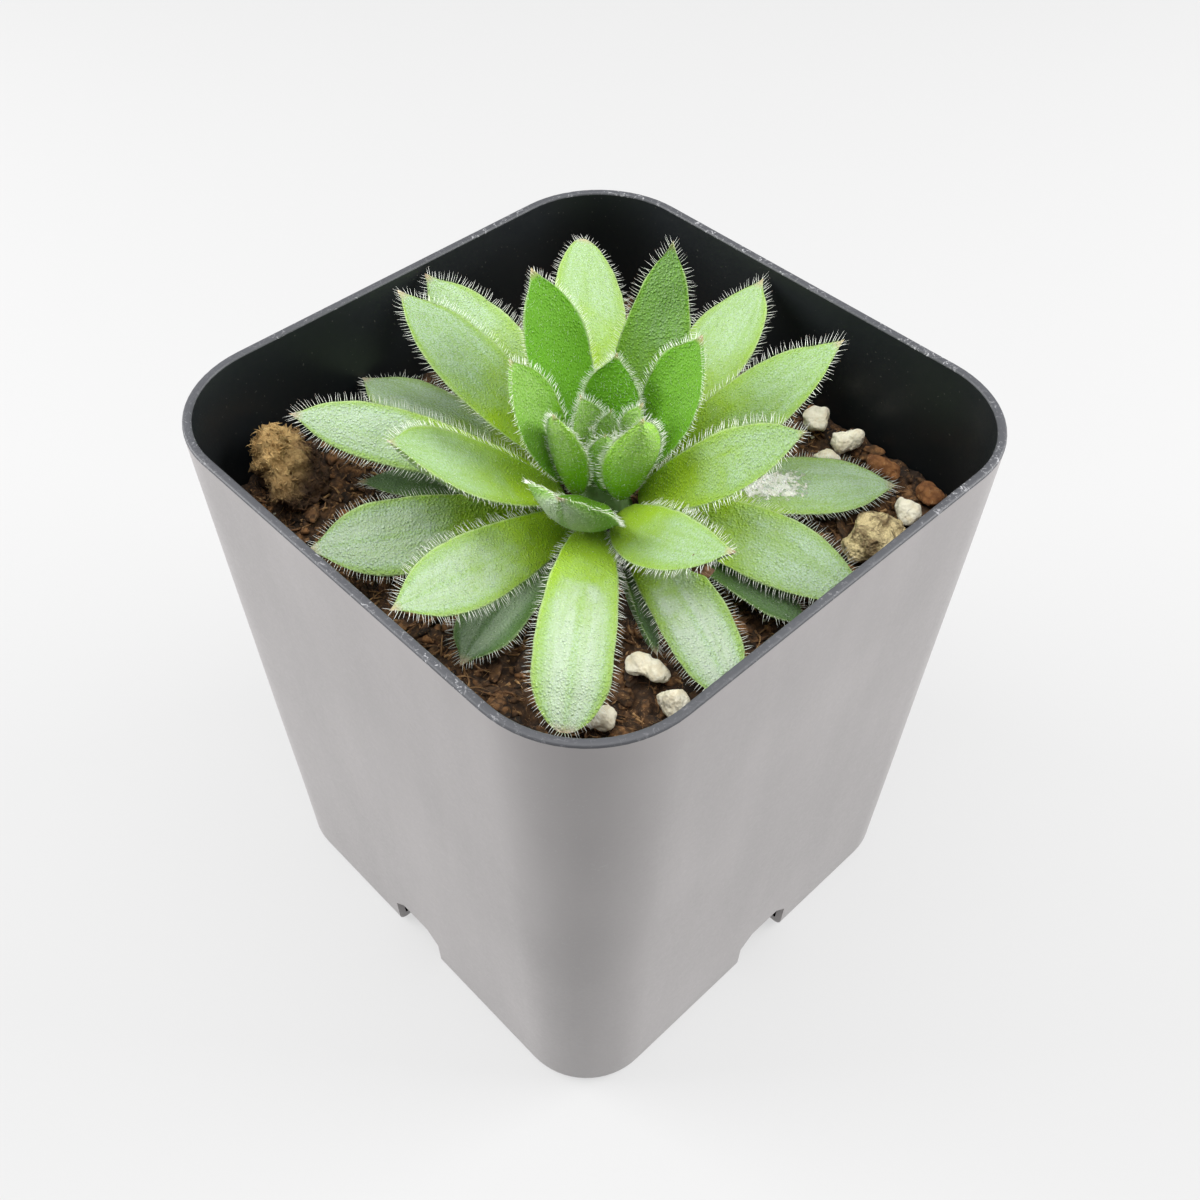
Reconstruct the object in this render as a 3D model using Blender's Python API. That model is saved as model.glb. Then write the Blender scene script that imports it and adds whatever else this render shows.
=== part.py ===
"""A young hairy-leaved rosette succulent in a square plastic nursery pot.

Every leaf, the stem with its root, the soil, each loose grain on it and the pot are
separate solids.  The origin is at the middle of the pot's underside, +Z is up, and
the pot's sides run along X and Y.  Lengths below are in millimetres.
"""

import math
from collections import namedtuple

import bmesh
import bpy
from mathutils import Matrix, Vector, noise

MM = 0.001
GAP = 0.35              # clearance kept between pieces that touch

# Pot
POT_HEIGHT = 78.0
POT_TOP_SIDE = 70.0
POT_BASE_SIDE = 64.0
POT_TOP_CORNER = 13.0   # corner radius at the rim
POT_BASE_CORNER = 9.5
POT_WALL = 1.0
POT_FLOOR = 1.2
RIM_ROUND = 0.25        # small round along the rim's two edges
FOOT_ROUND = 1.2        # round between the walls and the underside
CORNER_STEPS = 8

# Drain notch at the foot of each wall
NOTCH_WIDTH = 9.0
NOTCH_HEIGHT = 7.0
NOTCH_SHOULDER = 2.0    # width of each sloping shoulder
NOTCH_DEPTH = 3.0       # how far it runs in under the floor
NOTCH_OFFSETS = {0: 1.5, 90: 1.0, 180: 0.0, 270: -1.0}   # wall's turn: shift along the wall

# Soil
SOIL_TOP = 63.0

# Plant
AXIS_X = 0.7            # the plant stands a little off the pot's middle
AXIS_Y = 0.7
STEM_PROFILE = ((0.5, 36.0), (1.3, 44.0), (2.0, 52.0), (2.8, 60.0), (3.7, 63.0), (3.7, 64.2),
                (3.2, 65.2), (2.5, 66.2), (1.5, 67.0), (0.6, 67.5))   # radius, height
STEM_SIDES = 12

# One whorl of leaves: where its leaves root, and how stout they are
Whorl = namedtuple("Whorl", "root_radius root_height thickness root_width cup")
WHORLS = {
    "low": Whorl(5.2, 64.7, 1.7, 0.30, 0.10),
    "spread": Whorl(5.0, 65.4, 2.0, 0.28, 0.12),
    "outer": Whorl(4.8, 66.2, 2.0, 0.28, 0.12),
    "middle": Whorl(4.4, 67.1, 1.8, 0.28, 0.18),
    "inner": Whorl(3.7, 68.1, 1.4, 0.30, 0.30),
    "heart": Whorl(3.5, 67.8, 1.2, 0.34, 0.34),
    "crown": Whorl(1.8, 68.3, 1.0, 0.38, 0.36),
    "bud": Whorl(0.9, 68.8, 0.7, 0.40, 0.36),
}

# One leaf: compass azimuth and climb at its middle, how much the climb grows from root
# to tip, length, width, twist about its midline, and where it is widest (0 root, 1 tip)
Leaf = namedtuple("Leaf", "azimuth climb curl length width twist widest turn", defaults=(0,))
LEAVES = {
    "low": (
        Leaf(-140, 0, -10, 23, 7, 10, 0.65),
        Leaf(-75, 0, -25, 23, 8, 10, 0.8),
        Leaf(-30, 0, -20, 18, 3, -40, 0.75),
        Leaf(5, 0, -15, 23, 6, -15, 0.85),
        Leaf(115, 0, -10, 21, 6.5, 10, 0.6),
    ),
    "spread": (
        Leaf(-167, 3, 5, 30, 10, 12, 0.75),
        Leaf(-110, 10, 5, 29, 9, -30, 0.7),
        Leaf(-50, 5, -65, 33, 8.5, -15, 0.8),
        Leaf(-20, 0, -45, 29, 7.5, 20, 0.7),
        Leaf(140, 20, -10, 32.5, 9.5, 15, 0.65),
    ),
    "outer": (
        Leaf(-140, 15, -10, 31, 7, -30, 0.7),
        Leaf(-80, 20, 5, 31, 8, -35, 0.65),
        Leaf(15, 0, -30, 28, 9, 15, 0.6),
        Leaf(50, -2, 5, 29, 10, 0, 0.7),
        Leaf(100, 20, 25, 30, 12, -20, 0.65),
        Leaf(175, 20, -10, 31, 9.5, -25, 0.55),
    ),
    "middle": (
        Leaf(-170, 30, 10, 28, 10, 5, 0.6),
        Leaf(-115, 35, 20, 23, 11.5, 0, 0.6),
        Leaf(-15, 30, 10, 25, 7.5, 30, 0.5, 45),
        Leaf(15, 45, 5, 26, 7.5, 45, 0.55),
        Leaf(60, 35, 20, 27, 10, 5, 0.55),
        Leaf(110, 60, 50, 26, 9, 5, 0.4),
    ),
    "inner": (
        Leaf(-135, 70, 20, 17.5, 8, -25, 0.55),
        Leaf(-60, 44, 60, 17.5, 10.5, -10, 0.75),
        Leaf(70, 65, 35, 18, 9.5, 5, 0.6),
        Leaf(165, 55, 35, 22, 10, 20, 0.6),
    ),
    "heart": (
        Leaf(-102, 78, 10, 12.5, 6, 15, 0.55),
        Leaf(-5, 78, 20, 13.5, 7.2, -15, 0.5),
        Leaf(125, 72, 10, 12.5, 7, -5, 0.6),
    ),
    "crown": (
        Leaf(-40, 85, 5, 8.5, 4, 0, 0.5),
        Leaf(65, 75, 10, 9.5, 4, 10, 0.6),
        Leaf(180, 80, 5, 9.5, 4.5, -5, 0.65),
    ),
    "bud": (
        Leaf(-145, 86, 5, 6.5, 1.6, 0, 0.5),
        Leaf(20, 86, 5, 6.5, 1.6, 0, 0.5),
        Leaf(115, 80, 10, 7.5, 3, 0, 0.65),
    ),
}
LEAF_STATIONS = (0.0, 0.1, 0.22, 0.35, 0.48, 0.6, 0.72, 0.83, 0.92, 0.975)
LEAF_SECTION = ((-1.0, 0), (-0.5, 0), (0.0, 0), (0.5, 0), (1.0, 0), (0.6, 1), (0.0, 1), (-0.6, 1))

# Loose pieces lying on the soil: middle x, y, length, width, height, turn and roughness
Grain = namedtuple("Grain", "x y length width height turn rough")
GRAINS = {
    "perlite": (
        Grain(21.4, -12.9, 5.0, 3.2, 2.4, 15, 0.30),
        Grain(26.4, -14.0, 3.6, 3.4, 2.8, 0, 0.20),
        Grain(22.6, -21.0, 3.6, 3.0, 2.4, 60, 0.25),
        Grain(8.6, 29.4, 3.8, 3.2, 3.6, 10, 0.20),
        Grain(13.2, 29.4, 4.0, 3.4, 3.4, 40, 0.20),
        Grain(13.6, 25.2, 3.6, 3.0, 2.6, 20, 0.20),
        Grain(25.6, 25.2, 3.6, 3.2, 2.6, 0, 0.20),
    ),
    "bark_chip": (
        Grain(19.4, 29.0, 5.2, 3.0, 2.4, 5, 0.30),
        Grain(25.6, 29.2, 4.6, 3.2, 2.6, -40, 0.30),
        Grain(-17.0, -21.4, 5.0, 2.2, 1.4, 15, 0.35),
    ),
    "pebble": (
        Grain(26.6, 18.2, 8.4, 6.6, 5.0, 70, 0.25),
    ),
    "peat_clod": (
        Grain(-27.2, -22.6, 10.5, 8.8, 10.0, -30, 0.35),
    ),
}

COLOURS = {
    "pot": (0.30, 0.29, 0.29), "soil": (0.06, 0.035, 0.02), "stem": (0.28, 0.36, 0.10),
    "low": (0.07, 0.20, 0.05), "spread": (0.26, 0.44, 0.18),
    "outer": (0.27, 0.45, 0.17), "middle": (0.28, 0.48, 0.15),
    "inner": (0.20, 0.46, 0.07), "heart": (0.22, 0.45, 0.14),
    "crown": (0.20, 0.43, 0.14), "bud": (0.20, 0.42, 0.14),
    "perlite": (0.80, 0.76, 0.66), "bark_chip": (0.30, 0.14, 0.06),
    "pebble": (0.55, 0.42, 0.22), "peat_clod": (0.28, 0.17, 0.07),
}


def clear_scene():
    for obj in list(bpy.data.objects):
        bpy.data.objects.remove(obj, do_unlink=True)


def material(kind):
    mat = bpy.data.materials.get(kind)
    if mat is None:
        mat = bpy.data.materials.new(kind)
        mat.use_nodes = True
        shader = mat.node_tree.nodes["Principled BSDF"]
        shader.inputs["Base Color"].default_value = (*COLOURS[kind], 1.0)
        shader.inputs["Roughness"].default_value = 0.35 if kind == "pot" else 0.8
        shader.inputs["Metallic"].default_value = 0.0
    return mat


def make_object(name, bm, kind, smooth=True):
    """Turn a bmesh in millimetres into a named object in metres."""
    bmesh.ops.scale(bm, vec=(MM, MM, MM), verts=bm.verts)
    bmesh.ops.recalc_face_normals(bm, faces=bm.faces)
    mesh = bpy.data.meshes.new(name)
    bm.to_mesh(mesh)
    bm.free()
    mesh.materials.append(material(kind))
    if smooth:
        mesh.shade_smooth()
        mesh.set_sharp_from_angle(angle=math.radians(40))
    obj = bpy.data.objects.new(name, mesh)
    bpy.context.scene.collection.objects.link(obj)
    return obj


def loft(rings, close_ends=True):
    """Skin a list of equal rings of points into one closed body."""
    bm = bmesh.new()
    loops = [[bm.verts.new(point) for point in ring] for ring in rings]
    count = len(loops[0])
    for low, high in zip(loops, loops[1:]):
        for i in range(count):
            j = (i + 1) % count
            bm.faces.new((low[i], low[j], high[j], high[i]))
    if close_ends:
        bm.faces.new(loops[0][::-1])
        bm.faces.new(loops[-1])
    return bm


def subtract(obj, cutter):
    cutter.hide_render = True
    cutter.display_type = "WIRE"
    cut = obj.modifiers.new("cut", "BOOLEAN")
    cut.operation = "DIFFERENCE"
    cut.solver = "EXACT"
    cut.object = cutter


def rounded_square(side, corner, height):
    """Points round a square with round corners, counter-clockwise from +X."""
    points = []
    reach = side / 2 - corner
    for quarter in range(4):
        middle = Matrix.Rotation(quarter * math.pi / 2, 2) @ Vector((reach, reach))
        for step in range(CORNER_STEPS + 1):
            angle = (quarter + step / CORNER_STEPS) * math.pi / 2
            points.append((middle.x + corner * math.cos(angle),
                           middle.y + corner * math.sin(angle), height))
    return points


def pot_ring(height, inset):
    """The pot's cross-section at a height, drawn in from its outer wall by inset."""
    share = height / POT_HEIGHT
    side = POT_BASE_SIDE + (POT_TOP_SIDE - POT_BASE_SIDE) * share
    corner = POT_BASE_CORNER + (POT_TOP_CORNER - POT_BASE_CORNER) * share
    return rounded_square(side - 2 * inset, corner - inset, height)


def make_pot():
    foot = FOOT_ROUND * (1 - math.sqrt(0.5))
    rings = [
        pot_ring(0.0, FOOT_ROUND),
        pot_ring(foot, foot),
        pot_ring(FOOT_ROUND, 0.0),
        pot_ring(POT_HEIGHT / 2, 0.0),
        pot_ring(POT_HEIGHT - RIM_ROUND, 0.0),
        pot_ring(POT_HEIGHT, RIM_ROUND),
        pot_ring(POT_HEIGHT, POT_WALL - RIM_ROUND),
        pot_ring(POT_HEIGHT - RIM_ROUND, POT_WALL),
        pot_ring(POT_HEIGHT / 2, POT_WALL),
        pot_ring(POT_FLOOR, POT_WALL),
    ]
    pot = make_object("pot", loft(rings), "pot")
    for turn, shift in NOTCH_OFFSETS.items():
        subtract(pot, make_notch_cutter(turn, shift))
    return pot


def make_notch_cutter(turn, shift):
    """A block with sloping shoulders that stands across the foot of one wall."""
    half = NOTCH_WIDTH / 2
    outline = ((-half, -1.0), (half, -1.0), (half, NOTCH_HEIGHT - NOTCH_SHOULDER),
               (half - NOTCH_SHOULDER, NOTCH_HEIGHT), (NOTCH_SHOULDER - half, NOTCH_HEIGHT),
               (-half, NOTCH_HEIGHT - NOTCH_SHOULDER))
    inner = POT_BASE_SIDE / 2 - NOTCH_DEPTH
    outer = POT_BASE_SIDE / 2 + 5.0
    rings = [[(x, along, up) for along, up in outline] for x in (inner, outer)]
    cutter = make_object("notch_cutter_%d" % turn, loft(rings), "pot", smooth=False)
    cutter.rotation_euler.z = math.radians(turn)
    cutter.location = Matrix.Rotation(math.radians(turn), 3, "Z") @ Vector((0, shift * MM, 0))
    return cutter


def lathe(profile, extra=0.0):
    """A closed turned body round the plant's axis, from (radius, height) pairs."""
    rings = []
    for radius, height in profile:
        ring = []
        for i in range(STEM_SIDES):
            angle = 2 * math.pi * i / STEM_SIDES
            ring.append((AXIS_X + (radius + extra) * math.cos(angle),
                         AXIS_Y + (radius + extra) * math.sin(angle), height))
        rings.append(ring)
    return loft(rings)


def make_soil():
    rings = [pot_ring(height, POT_WALL + GAP)
             for height in (POT_FLOOR + GAP, POT_HEIGHT / 2, SOIL_TOP)]
    soil = make_object("soil", loft(rings), "soil")
    bottom_radius, bottom = STEM_PROFILE[0]
    hole = ((bottom_radius, bottom - GAP),) + STEM_PROFILE[1:6]
    subtract(soil, make_object("root_cutter", lathe(hole, GAP), "soil"))
    return soil


def make_stem():
    return make_object("stem_and_root", lathe(STEM_PROFILE), "stem")


def leaf_half_width(leaf, root_width, along):
    """Half the leaf's width: it swells from the root to its widest, then narrows to a tip."""
    if along < leaf.widest:
        share = root_width + (1 - root_width) * math.sin(math.pi / 2 * along / leaf.widest) ** 0.9
    else:
        past = (along - leaf.widest) / (1 - leaf.widest)
        share = (1 - past ** 1.9) ** 0.8
    return share * leaf.width / 2


def leaf_thickness(whorl, along):
    return whorl.thickness * min(1.0, 0.45 + along * 3.2) * math.sqrt(1 - along ** 3.5)


def leaf_midline(leaf, steps=60):
    """Points and directions along the midline, in the leaf's own frame (+X outwards)."""
    point = Vector((0, 0, 0))
    line = []
    for i in range(steps + 1):
        along = i / steps
        climb = math.radians(leaf.climb + leaf.curl * (along - 0.5))
        turn = math.radians(leaf.turn * (along - 0.5))
        ahead = Vector((math.cos(climb) * math.cos(turn), math.cos(climb) * math.sin(turn),
                        math.sin(climb)))
        if line:
            point = point + (line[-1][1] + ahead) / 2 * leaf.length / steps
        side = Vector((-math.sin(turn), math.cos(turn), 0))
        line.append((point, ahead, side))
    return line


def make_leaf(name, kind, leaf):
    whorl = WHORLS[kind]
    line = leaf_midline(leaf)
    twist = math.radians(leaf.twist)
    rings = []
    for along in LEAF_STATIONS:
        point, ahead, side = line[round(along * (len(line) - 1))]
        up = ahead.cross(side)
        across = side * math.cos(twist) + up * math.sin(twist)
        up = up * math.cos(twist) - side * math.sin(twist)
        half = leaf_half_width(leaf, whorl.root_width, along)
        thick = leaf_thickness(whorl, along)
        ring = []
        for share, under in LEAF_SECTION:
            lift = whorl.cup * share ** 2 * half
            if under:
                lift -= thick * (1 - share ** 2) ** 0.7
            ring.append(point + across * (share * half) + up * lift)
        rings.append(ring)
    bm = loft(rings, close_ends=False)
    bm.verts.ensure_lookup_table()
    count = len(LEAF_SECTION)
    bm.faces.new(list(bm.verts)[:count][::-1])
    tip = bm.verts.new(line[-1][0])
    last = list(bm.verts)[-count - 1:-1]
    for i in range(count):
        bm.faces.new((last[i], last[(i + 1) % count], tip))
    obj = make_object(name, bm, kind)
    heading = math.radians(leaf.azimuth)
    obj.rotation_euler.z = heading
    obj.location = Vector((AXIS_X + whorl.root_radius * math.cos(heading),
                           AXIS_Y + whorl.root_radius * math.sin(heading),
                           whorl.root_height)) * MM
    return obj


def make_grain(name, kind, grain, seed):
    """A rounded lump, dented by smooth noise and flat where it rests on the soil."""
    bm = bmesh.new()
    bmesh.ops.create_icosphere(bm, subdivisions=2, radius=1.0)
    size = Vector((grain.length, grain.width, grain.height)) / 2
    shift = Vector((seed * 7.3, seed * 3.1, 0))
    for vert in bm.verts:
        dent = 1 + grain.rough * noise.noise(vert.co * 1.3 + shift)
        vert.co = vert.co * dent
        vert.co.z = max(vert.co.z, -0.75)
        vert.co = vert.co * size
    base = min(vert.co.z for vert in bm.verts)
    bmesh.ops.translate(bm, vec=(0, 0, -base), verts=bm.verts)
    obj = make_object(name, bm, kind)
    obj.rotation_euler.z = math.radians(grain.turn)
    obj.location = Vector((grain.x, grain.y, SOIL_TOP + GAP)) * MM
    return obj


def main():
    clear_scene()
    make_pot()
    make_soil()
    make_stem()
    for kind, leaves in LEAVES.items():
        for number, leaf in enumerate(leaves, start=1):
            make_leaf("%s_leaf_%d" % (kind, number), kind, leaf)
    seed = 0
    for kind, grains in GRAINS.items():
        for number, grain in enumerate(grains, start=1):
            seed += 1
            name = "%s_%d" % (kind, number) if len(grains) > 1 else kind
            make_grain(name, kind, grain, seed)
    bpy.context.view_layer.update()


main()
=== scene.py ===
"""Visual model of a young hairy-leaved rosette succulent in a square nursery pot.

The packed model gives every piece its size and place.  Each operator below makes one
kind of visible piece from it, and main() runs them in order.  Lengths are in metres.
"""

import math
import random

import bpy
import numpy as np
from bpy.props import FloatProperty, FloatVectorProperty, IntProperty, PointerProperty
from mathutils import Matrix, Vector, noise
from mathutils.bvhtree import BVHTree


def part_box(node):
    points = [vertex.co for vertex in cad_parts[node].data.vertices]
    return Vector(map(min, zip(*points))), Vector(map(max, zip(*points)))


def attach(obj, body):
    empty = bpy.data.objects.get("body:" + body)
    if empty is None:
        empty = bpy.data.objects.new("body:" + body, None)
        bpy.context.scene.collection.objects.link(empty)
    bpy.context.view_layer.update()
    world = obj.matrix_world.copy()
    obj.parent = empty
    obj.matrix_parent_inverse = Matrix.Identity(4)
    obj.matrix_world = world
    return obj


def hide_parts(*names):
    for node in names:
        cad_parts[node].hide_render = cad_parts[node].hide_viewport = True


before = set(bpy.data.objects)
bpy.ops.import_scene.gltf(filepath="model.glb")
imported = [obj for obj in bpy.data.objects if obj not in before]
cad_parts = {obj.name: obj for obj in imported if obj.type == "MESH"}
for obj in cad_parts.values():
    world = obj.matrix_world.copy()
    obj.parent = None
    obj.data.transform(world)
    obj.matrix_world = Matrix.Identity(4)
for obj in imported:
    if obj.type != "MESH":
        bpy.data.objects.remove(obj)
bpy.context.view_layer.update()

bl_info = {
    "name": "Potted Rosette Succulent",
    "version": (1, 0, 0),
    "blender": (4, 5, 0),
    "location": "View3D > Sidebar > Succulent",
    "description": "Makes the visible pieces of a small potted rosette succulent",
    "category": "Object",
}

MM = 0.001
HAIRLINE = 0.01 * MM        # points nearer than this count as one
BODY = "root"

POT_LOW, POT_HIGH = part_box("pot")
SOIL_LOW, SOIL_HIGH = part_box("soil")
STEM_LOW, STEM_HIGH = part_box("stem_and_root")
PLANT_AXIS = (STEM_LOW + STEM_HIGH) / 2

VIVID_GREEN = (0.12, 0.37, 0.003)
# colour of the painted highlight: silver bands that stand for the lights' reflection on the leaves
PAINTED_HIGHLIGHT_GREEN = (0.55, 0.66, 0.50)
POWDER_WHITE = (0.97, 0.99, 0.88)
PORE_GREEN = (0.05, 0.14, 0.02)
MARGIN_GREEN = (0.50, 0.62, 0.34)
TIP_BROWN = (0.50, 0.34, 0.24)
SEAM_BROWN = (0.07, 0.05, 0.03)
DUST_GREY = (0.42, 0.40, 0.36)

WHORLS = ("low", "spread", "outer", "middle", "inner", "heart", "crown", "bud")
SLOT_OF_WHORL = {
    "low": "leaf_dark", "spread": "leaf_frosted", "outer": "leaf_frosted",
    "middle": "leaf_fresh", "inner": "leaf_bright", "heart": "leaf_heart",
    "crown": "leaf_heart", "bud": "leaf_heart",
}


# ---------------------------------------------------------------- modelling helpers

def deselect_all():
    if bpy.context.object and bpy.context.object.mode != "OBJECT":
        bpy.ops.object.mode_set(mode="OBJECT")
    bpy.ops.object.select_all(action="DESELECT")


def pick(obj):
    """Make obj the only selected object, and the active one."""
    deselect_all()
    obj.select_set(True)
    bpy.context.view_layer.objects.active = obj


def edit(obj, select="SELECT", kind="VERT"):
    """Open obj for editing with everything or nothing selected."""
    pick(obj)
    bpy.ops.object.mode_set(mode="EDIT")
    bpy.ops.mesh.select_mode(type=kind)
    bpy.ops.mesh.select_all(action=select)


def close_edit():
    bpy.ops.object.mode_set(mode="OBJECT")


def edit_where(obj, kind, test):
    """Open obj for editing with only the edges or faces that pass a test selected."""
    edit(obj, "DESELECT", kind)
    close_edit()
    for part in {"EDGE": obj.data.edges, "FACE": obj.data.polygons}[kind]:
        part.select = test(part)
    bpy.ops.object.mode_set(mode="EDIT")


def ends(obj, edge):
    """The places of an edge's two ends."""
    return [obj.data.vertices[i].co for i in edge.vertices]


def join(*objects):
    """Join objects into the first of them."""
    pick(objects[0])
    for obj in objects[1:]:
        obj.select_set(True)
    if len(objects) > 1:
        bpy.ops.object.join()
    return objects[0]


def add_modifier(obj, kind, **settings):
    """Add a modifier and apply it at once."""
    pick(obj)
    made = obj.modifiers.new(kind.lower(), kind)
    for key, value in settings.items():
        setattr(made, key, value)
    bpy.ops.object.modifier_apply(modifier=made.name)


def subdivide_surface(obj, levels):
    add_modifier(obj, "SUBSURF", levels=levels, render_levels=levels)


def named(obj, name):
    obj.name = name
    obj.data.name = name
    return obj


def primitive(kind, name, scale=None, **settings):
    """Add one of Blender's own shapes, named and perhaps scaled, its place in its mesh."""
    deselect_all()
    getattr(bpy.ops.mesh, "primitive_%s_add" % kind)(**settings)
    obj = named(bpy.context.object, name)
    if scale:
        obj.scale = scale
    settle_place(obj)
    return obj


def copy_of_node(node, name, quads=True):
    """A new piece that starts from a node's shape, welded and often in four-sided faces."""
    obj = bpy.data.objects.new(name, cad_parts[node].data.copy())
    bpy.context.scene.collection.objects.link(obj)
    obj.data.name = name
    obj.data.materials.clear()
    pick(obj)
    bpy.ops.mesh.customdata_custom_splitnormals_clear()
    edit(obj)
    bpy.ops.mesh.remove_doubles(threshold=HAIRLINE)
    close_edit()
    if quads:
        join_triangles(obj, lambda face: True)
    return obj


def join_triangles(obj, test):
    """Turn the triangles that pass a test into four-sided faces."""
    edit_where(obj, "FACE", test)
    bpy.ops.mesh.tris_convert_to_quads(face_threshold=math.radians(60),
                                       shape_threshold=math.radians(60))
    close_edit()


def settle_place(obj):
    """Put a finished piece's place, turn and size into its mesh."""
    pick(obj)
    bpy.ops.object.transform_apply(location=True, rotation=True, scale=True)


def points_of(mesh, key="co"):
    """The places of a mesh's vertices, or their normals."""
    points = np.empty(len(mesh.vertices) * 3, np.float32)
    mesh.vertices.foreach_get(key, points)
    return points.reshape(-1, 3).astype(float)


def set_points(mesh, points):
    mesh.vertices.foreach_set("co", np.asarray(points, np.float32).ravel())
    mesh.update()


def set_attribute(mesh, name, values):
    """Write one number for each vertex."""
    layer = mesh.attributes.get(name) or mesh.attributes.new(name, "FLOAT", "POINT")
    layer.data.foreach_set("value", np.broadcast_to(values, len(mesh.vertices)).astype(np.float32))


def rough_up(obj, layers):
    """Push the surface in and out by smooth noise; layers are (lump size, height) in mm."""
    points = points_of(obj.data)
    push = np.zeros(len(points))
    for seed, (size, height) in enumerate(layers):
        shift = Vector((seed * 3.7, seed * 1.9, 0.4))
        push += [height * MM * noise.noise(Vector(point) / (size * MM) + shift)
                 for point in points]
    set_points(obj.data, points + points_of(obj.data, "normal") * push[:, None])


def finish_piece(obj, material, slot, *nodes):
    """Give a piece its material and hang it from the body; the slot is not used; nodes are those
    that it stands for.
    """
    if material:
        obj.data.materials.append(material)
        obj.data.shade_smooth()
    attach(obj, BODY)
    if nodes:
        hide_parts(*nodes)
    deselect_all()


def unit(vectors):
    return vectors / np.maximum(np.linalg.norm(vectors, axis=-1, keepdims=True), 1e-12)


# ---------------------------------------------------------------- repeated small shapes

def small_shape(obj):
    """The points and faces of a small shape, which is then taken away."""
    points = points_of(obj.data)
    faces = [tuple(face.vertices) for face in obj.data.polygons]
    bpy.data.objects.remove(obj, do_unlink=True)
    return points, faces


def strand_shape(sides, steps):
    """A unit-high tapering strand along +Z, its axis at the middle."""
    obj = primitive("cone", "strand", vertices=sides, radius1=1.0, radius2=0.12, depth=1.0,
                    location=(0, 0, 0.5), end_fill_type="NGON")
    if steps > 1:
        edit_where(obj, "EDGE", lambda edge: abs(np.subtract(*ends(obj, edge))[2]) > 0.5)
        bpy.ops.mesh.subdivide(number_cuts=steps - 1)
        close_edit()
    return small_shape(obj)


def crumb_shape(seed, stretch, height):
    """A rough lump a unit across, longer along X and flattened to a height."""
    obj = primitive("ico_sphere", "crumb", (stretch, 1.0, height), subdivisions=2, radius=0.5)
    points = points_of(obj.data)
    shift = Vector((seed * 5.3, 0, 0))
    dents = [1 + 0.55 * noise.noise(Vector(point) * 3.1 + shift) for point in points]
    points *= np.array(dents)[:, None]
    set_points(obj.data, points)
    return small_shape(obj)


def mesh_from_copies(name, points, faces, attributes):
    """One object from many copies of a shape: points is copies x corners x 3."""
    copies, corners = points.shape[:2]
    all_faces = [tuple(corner + k * corners for corner in face)
                 for k in range(copies) for face in faces]
    mesh = bpy.data.meshes.new(name)
    mesh.from_pydata(points.reshape(-1, 3).tolist(), [], all_faces)
    for label, values in attributes.items():
        set_attribute(mesh, label, np.broadcast_to(values, (copies, corners)).ravel())
    obj = bpy.data.objects.new(name, mesh)
    bpy.context.scene.collection.objects.link(obj)
    return obj


def strands(name, shape, roots, aims, bends, lengths, radii, tones):
    """Many tapering strands, each bent off its aim by the square of its length."""
    corners, faces = shape
    roots, aims, bends = (np.array(column)[:, None, :] for column in (roots, aims, bends))
    lengths, radii = (np.array(column)[:, None, None] for column in (lengths, radii))
    east, north, rise = (corners[None, :, i, None] for i in range(3))
    aims = unit(aims)
    sides = unit(np.cross(aims, bends) + 1e-9)
    points = (roots + (aims * rise + bends * rise ** 2) * lengths
              + (sides * east + np.cross(sides, aims) * north) * radii)
    return mesh_from_copies(name, points, faces,
                            {"reach": corners[None, :, 2], "tone": np.array(tones)[:, None]})


def lumps(name, shapes, places, tones):
    """Many copies of a few rough lumps; each place is a 4x4 matrix."""
    made = []
    for k, (corners, faces) in enumerate(shapes):
        chosen = places[k::len(shapes)]
        if not chosen:
            continue
        frames = np.array([[list(row) for row in place] for place in chosen])
        points = np.einsum("nij,mj->nmi", frames[:, :3, :3], corners) + frames[:, None, :3, 3]
        made.append(mesh_from_copies("%s_%d" % (name, k), points, faces,
                                     {"tone": np.array(tones[k::len(shapes)])[:, None]}))
    return named(join(*made), name)


# ---------------------------------------------------------------- material helpers

def put(tree, kind, feeds=(), **settings):
    """Add a node; feeds gives its inputs, by name or number, a value or another socket."""
    made = tree.nodes.new("ShaderNode" + kind)
    for key, value in settings.items():
        setattr(made, key, value)
    for key, value in dict(feeds).items():
        if isinstance(value, bpy.types.NodeSocket):
            tree.links.new(value, made.inputs[key])
        else:
            made.inputs[key].default_value = value
    return made


def calc(tree, operation, *values, clamp=False):
    feeds = dict(enumerate(values))
    return put(tree, "Math", feeds, operation=operation, use_clamp=clamp).outputs[0]


def blend(tree, share, low, high):
    """The colour low where share is 0 and high where it is 1."""
    return put(tree, "Mix", {0: share, 6: low, 7: high}, data_type="RGBA").outputs[2]


def fade(tree, value, start, end, low=0.0, high=1.0):
    """A smooth step from low to high as value goes from start to end."""
    feeds = {0: value, 1: start, 2: end, 3: low, 4: high}
    return put(tree, "MapRange", feeds, interpolation_type="SMOOTHSTEP").outputs[0]


def clouds(tree, where, scale, detail=2.0, roughness=0.5, distortion=0.0):
    feeds = {"Vector": where, "Scale": scale, "Detail": detail, "Roughness": roughness,
             "Distortion": distortion}
    return put(tree, "TexNoise", feeds).outputs["Fac"]


def shade(colour):
    return (*colour, 1.0)


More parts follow.
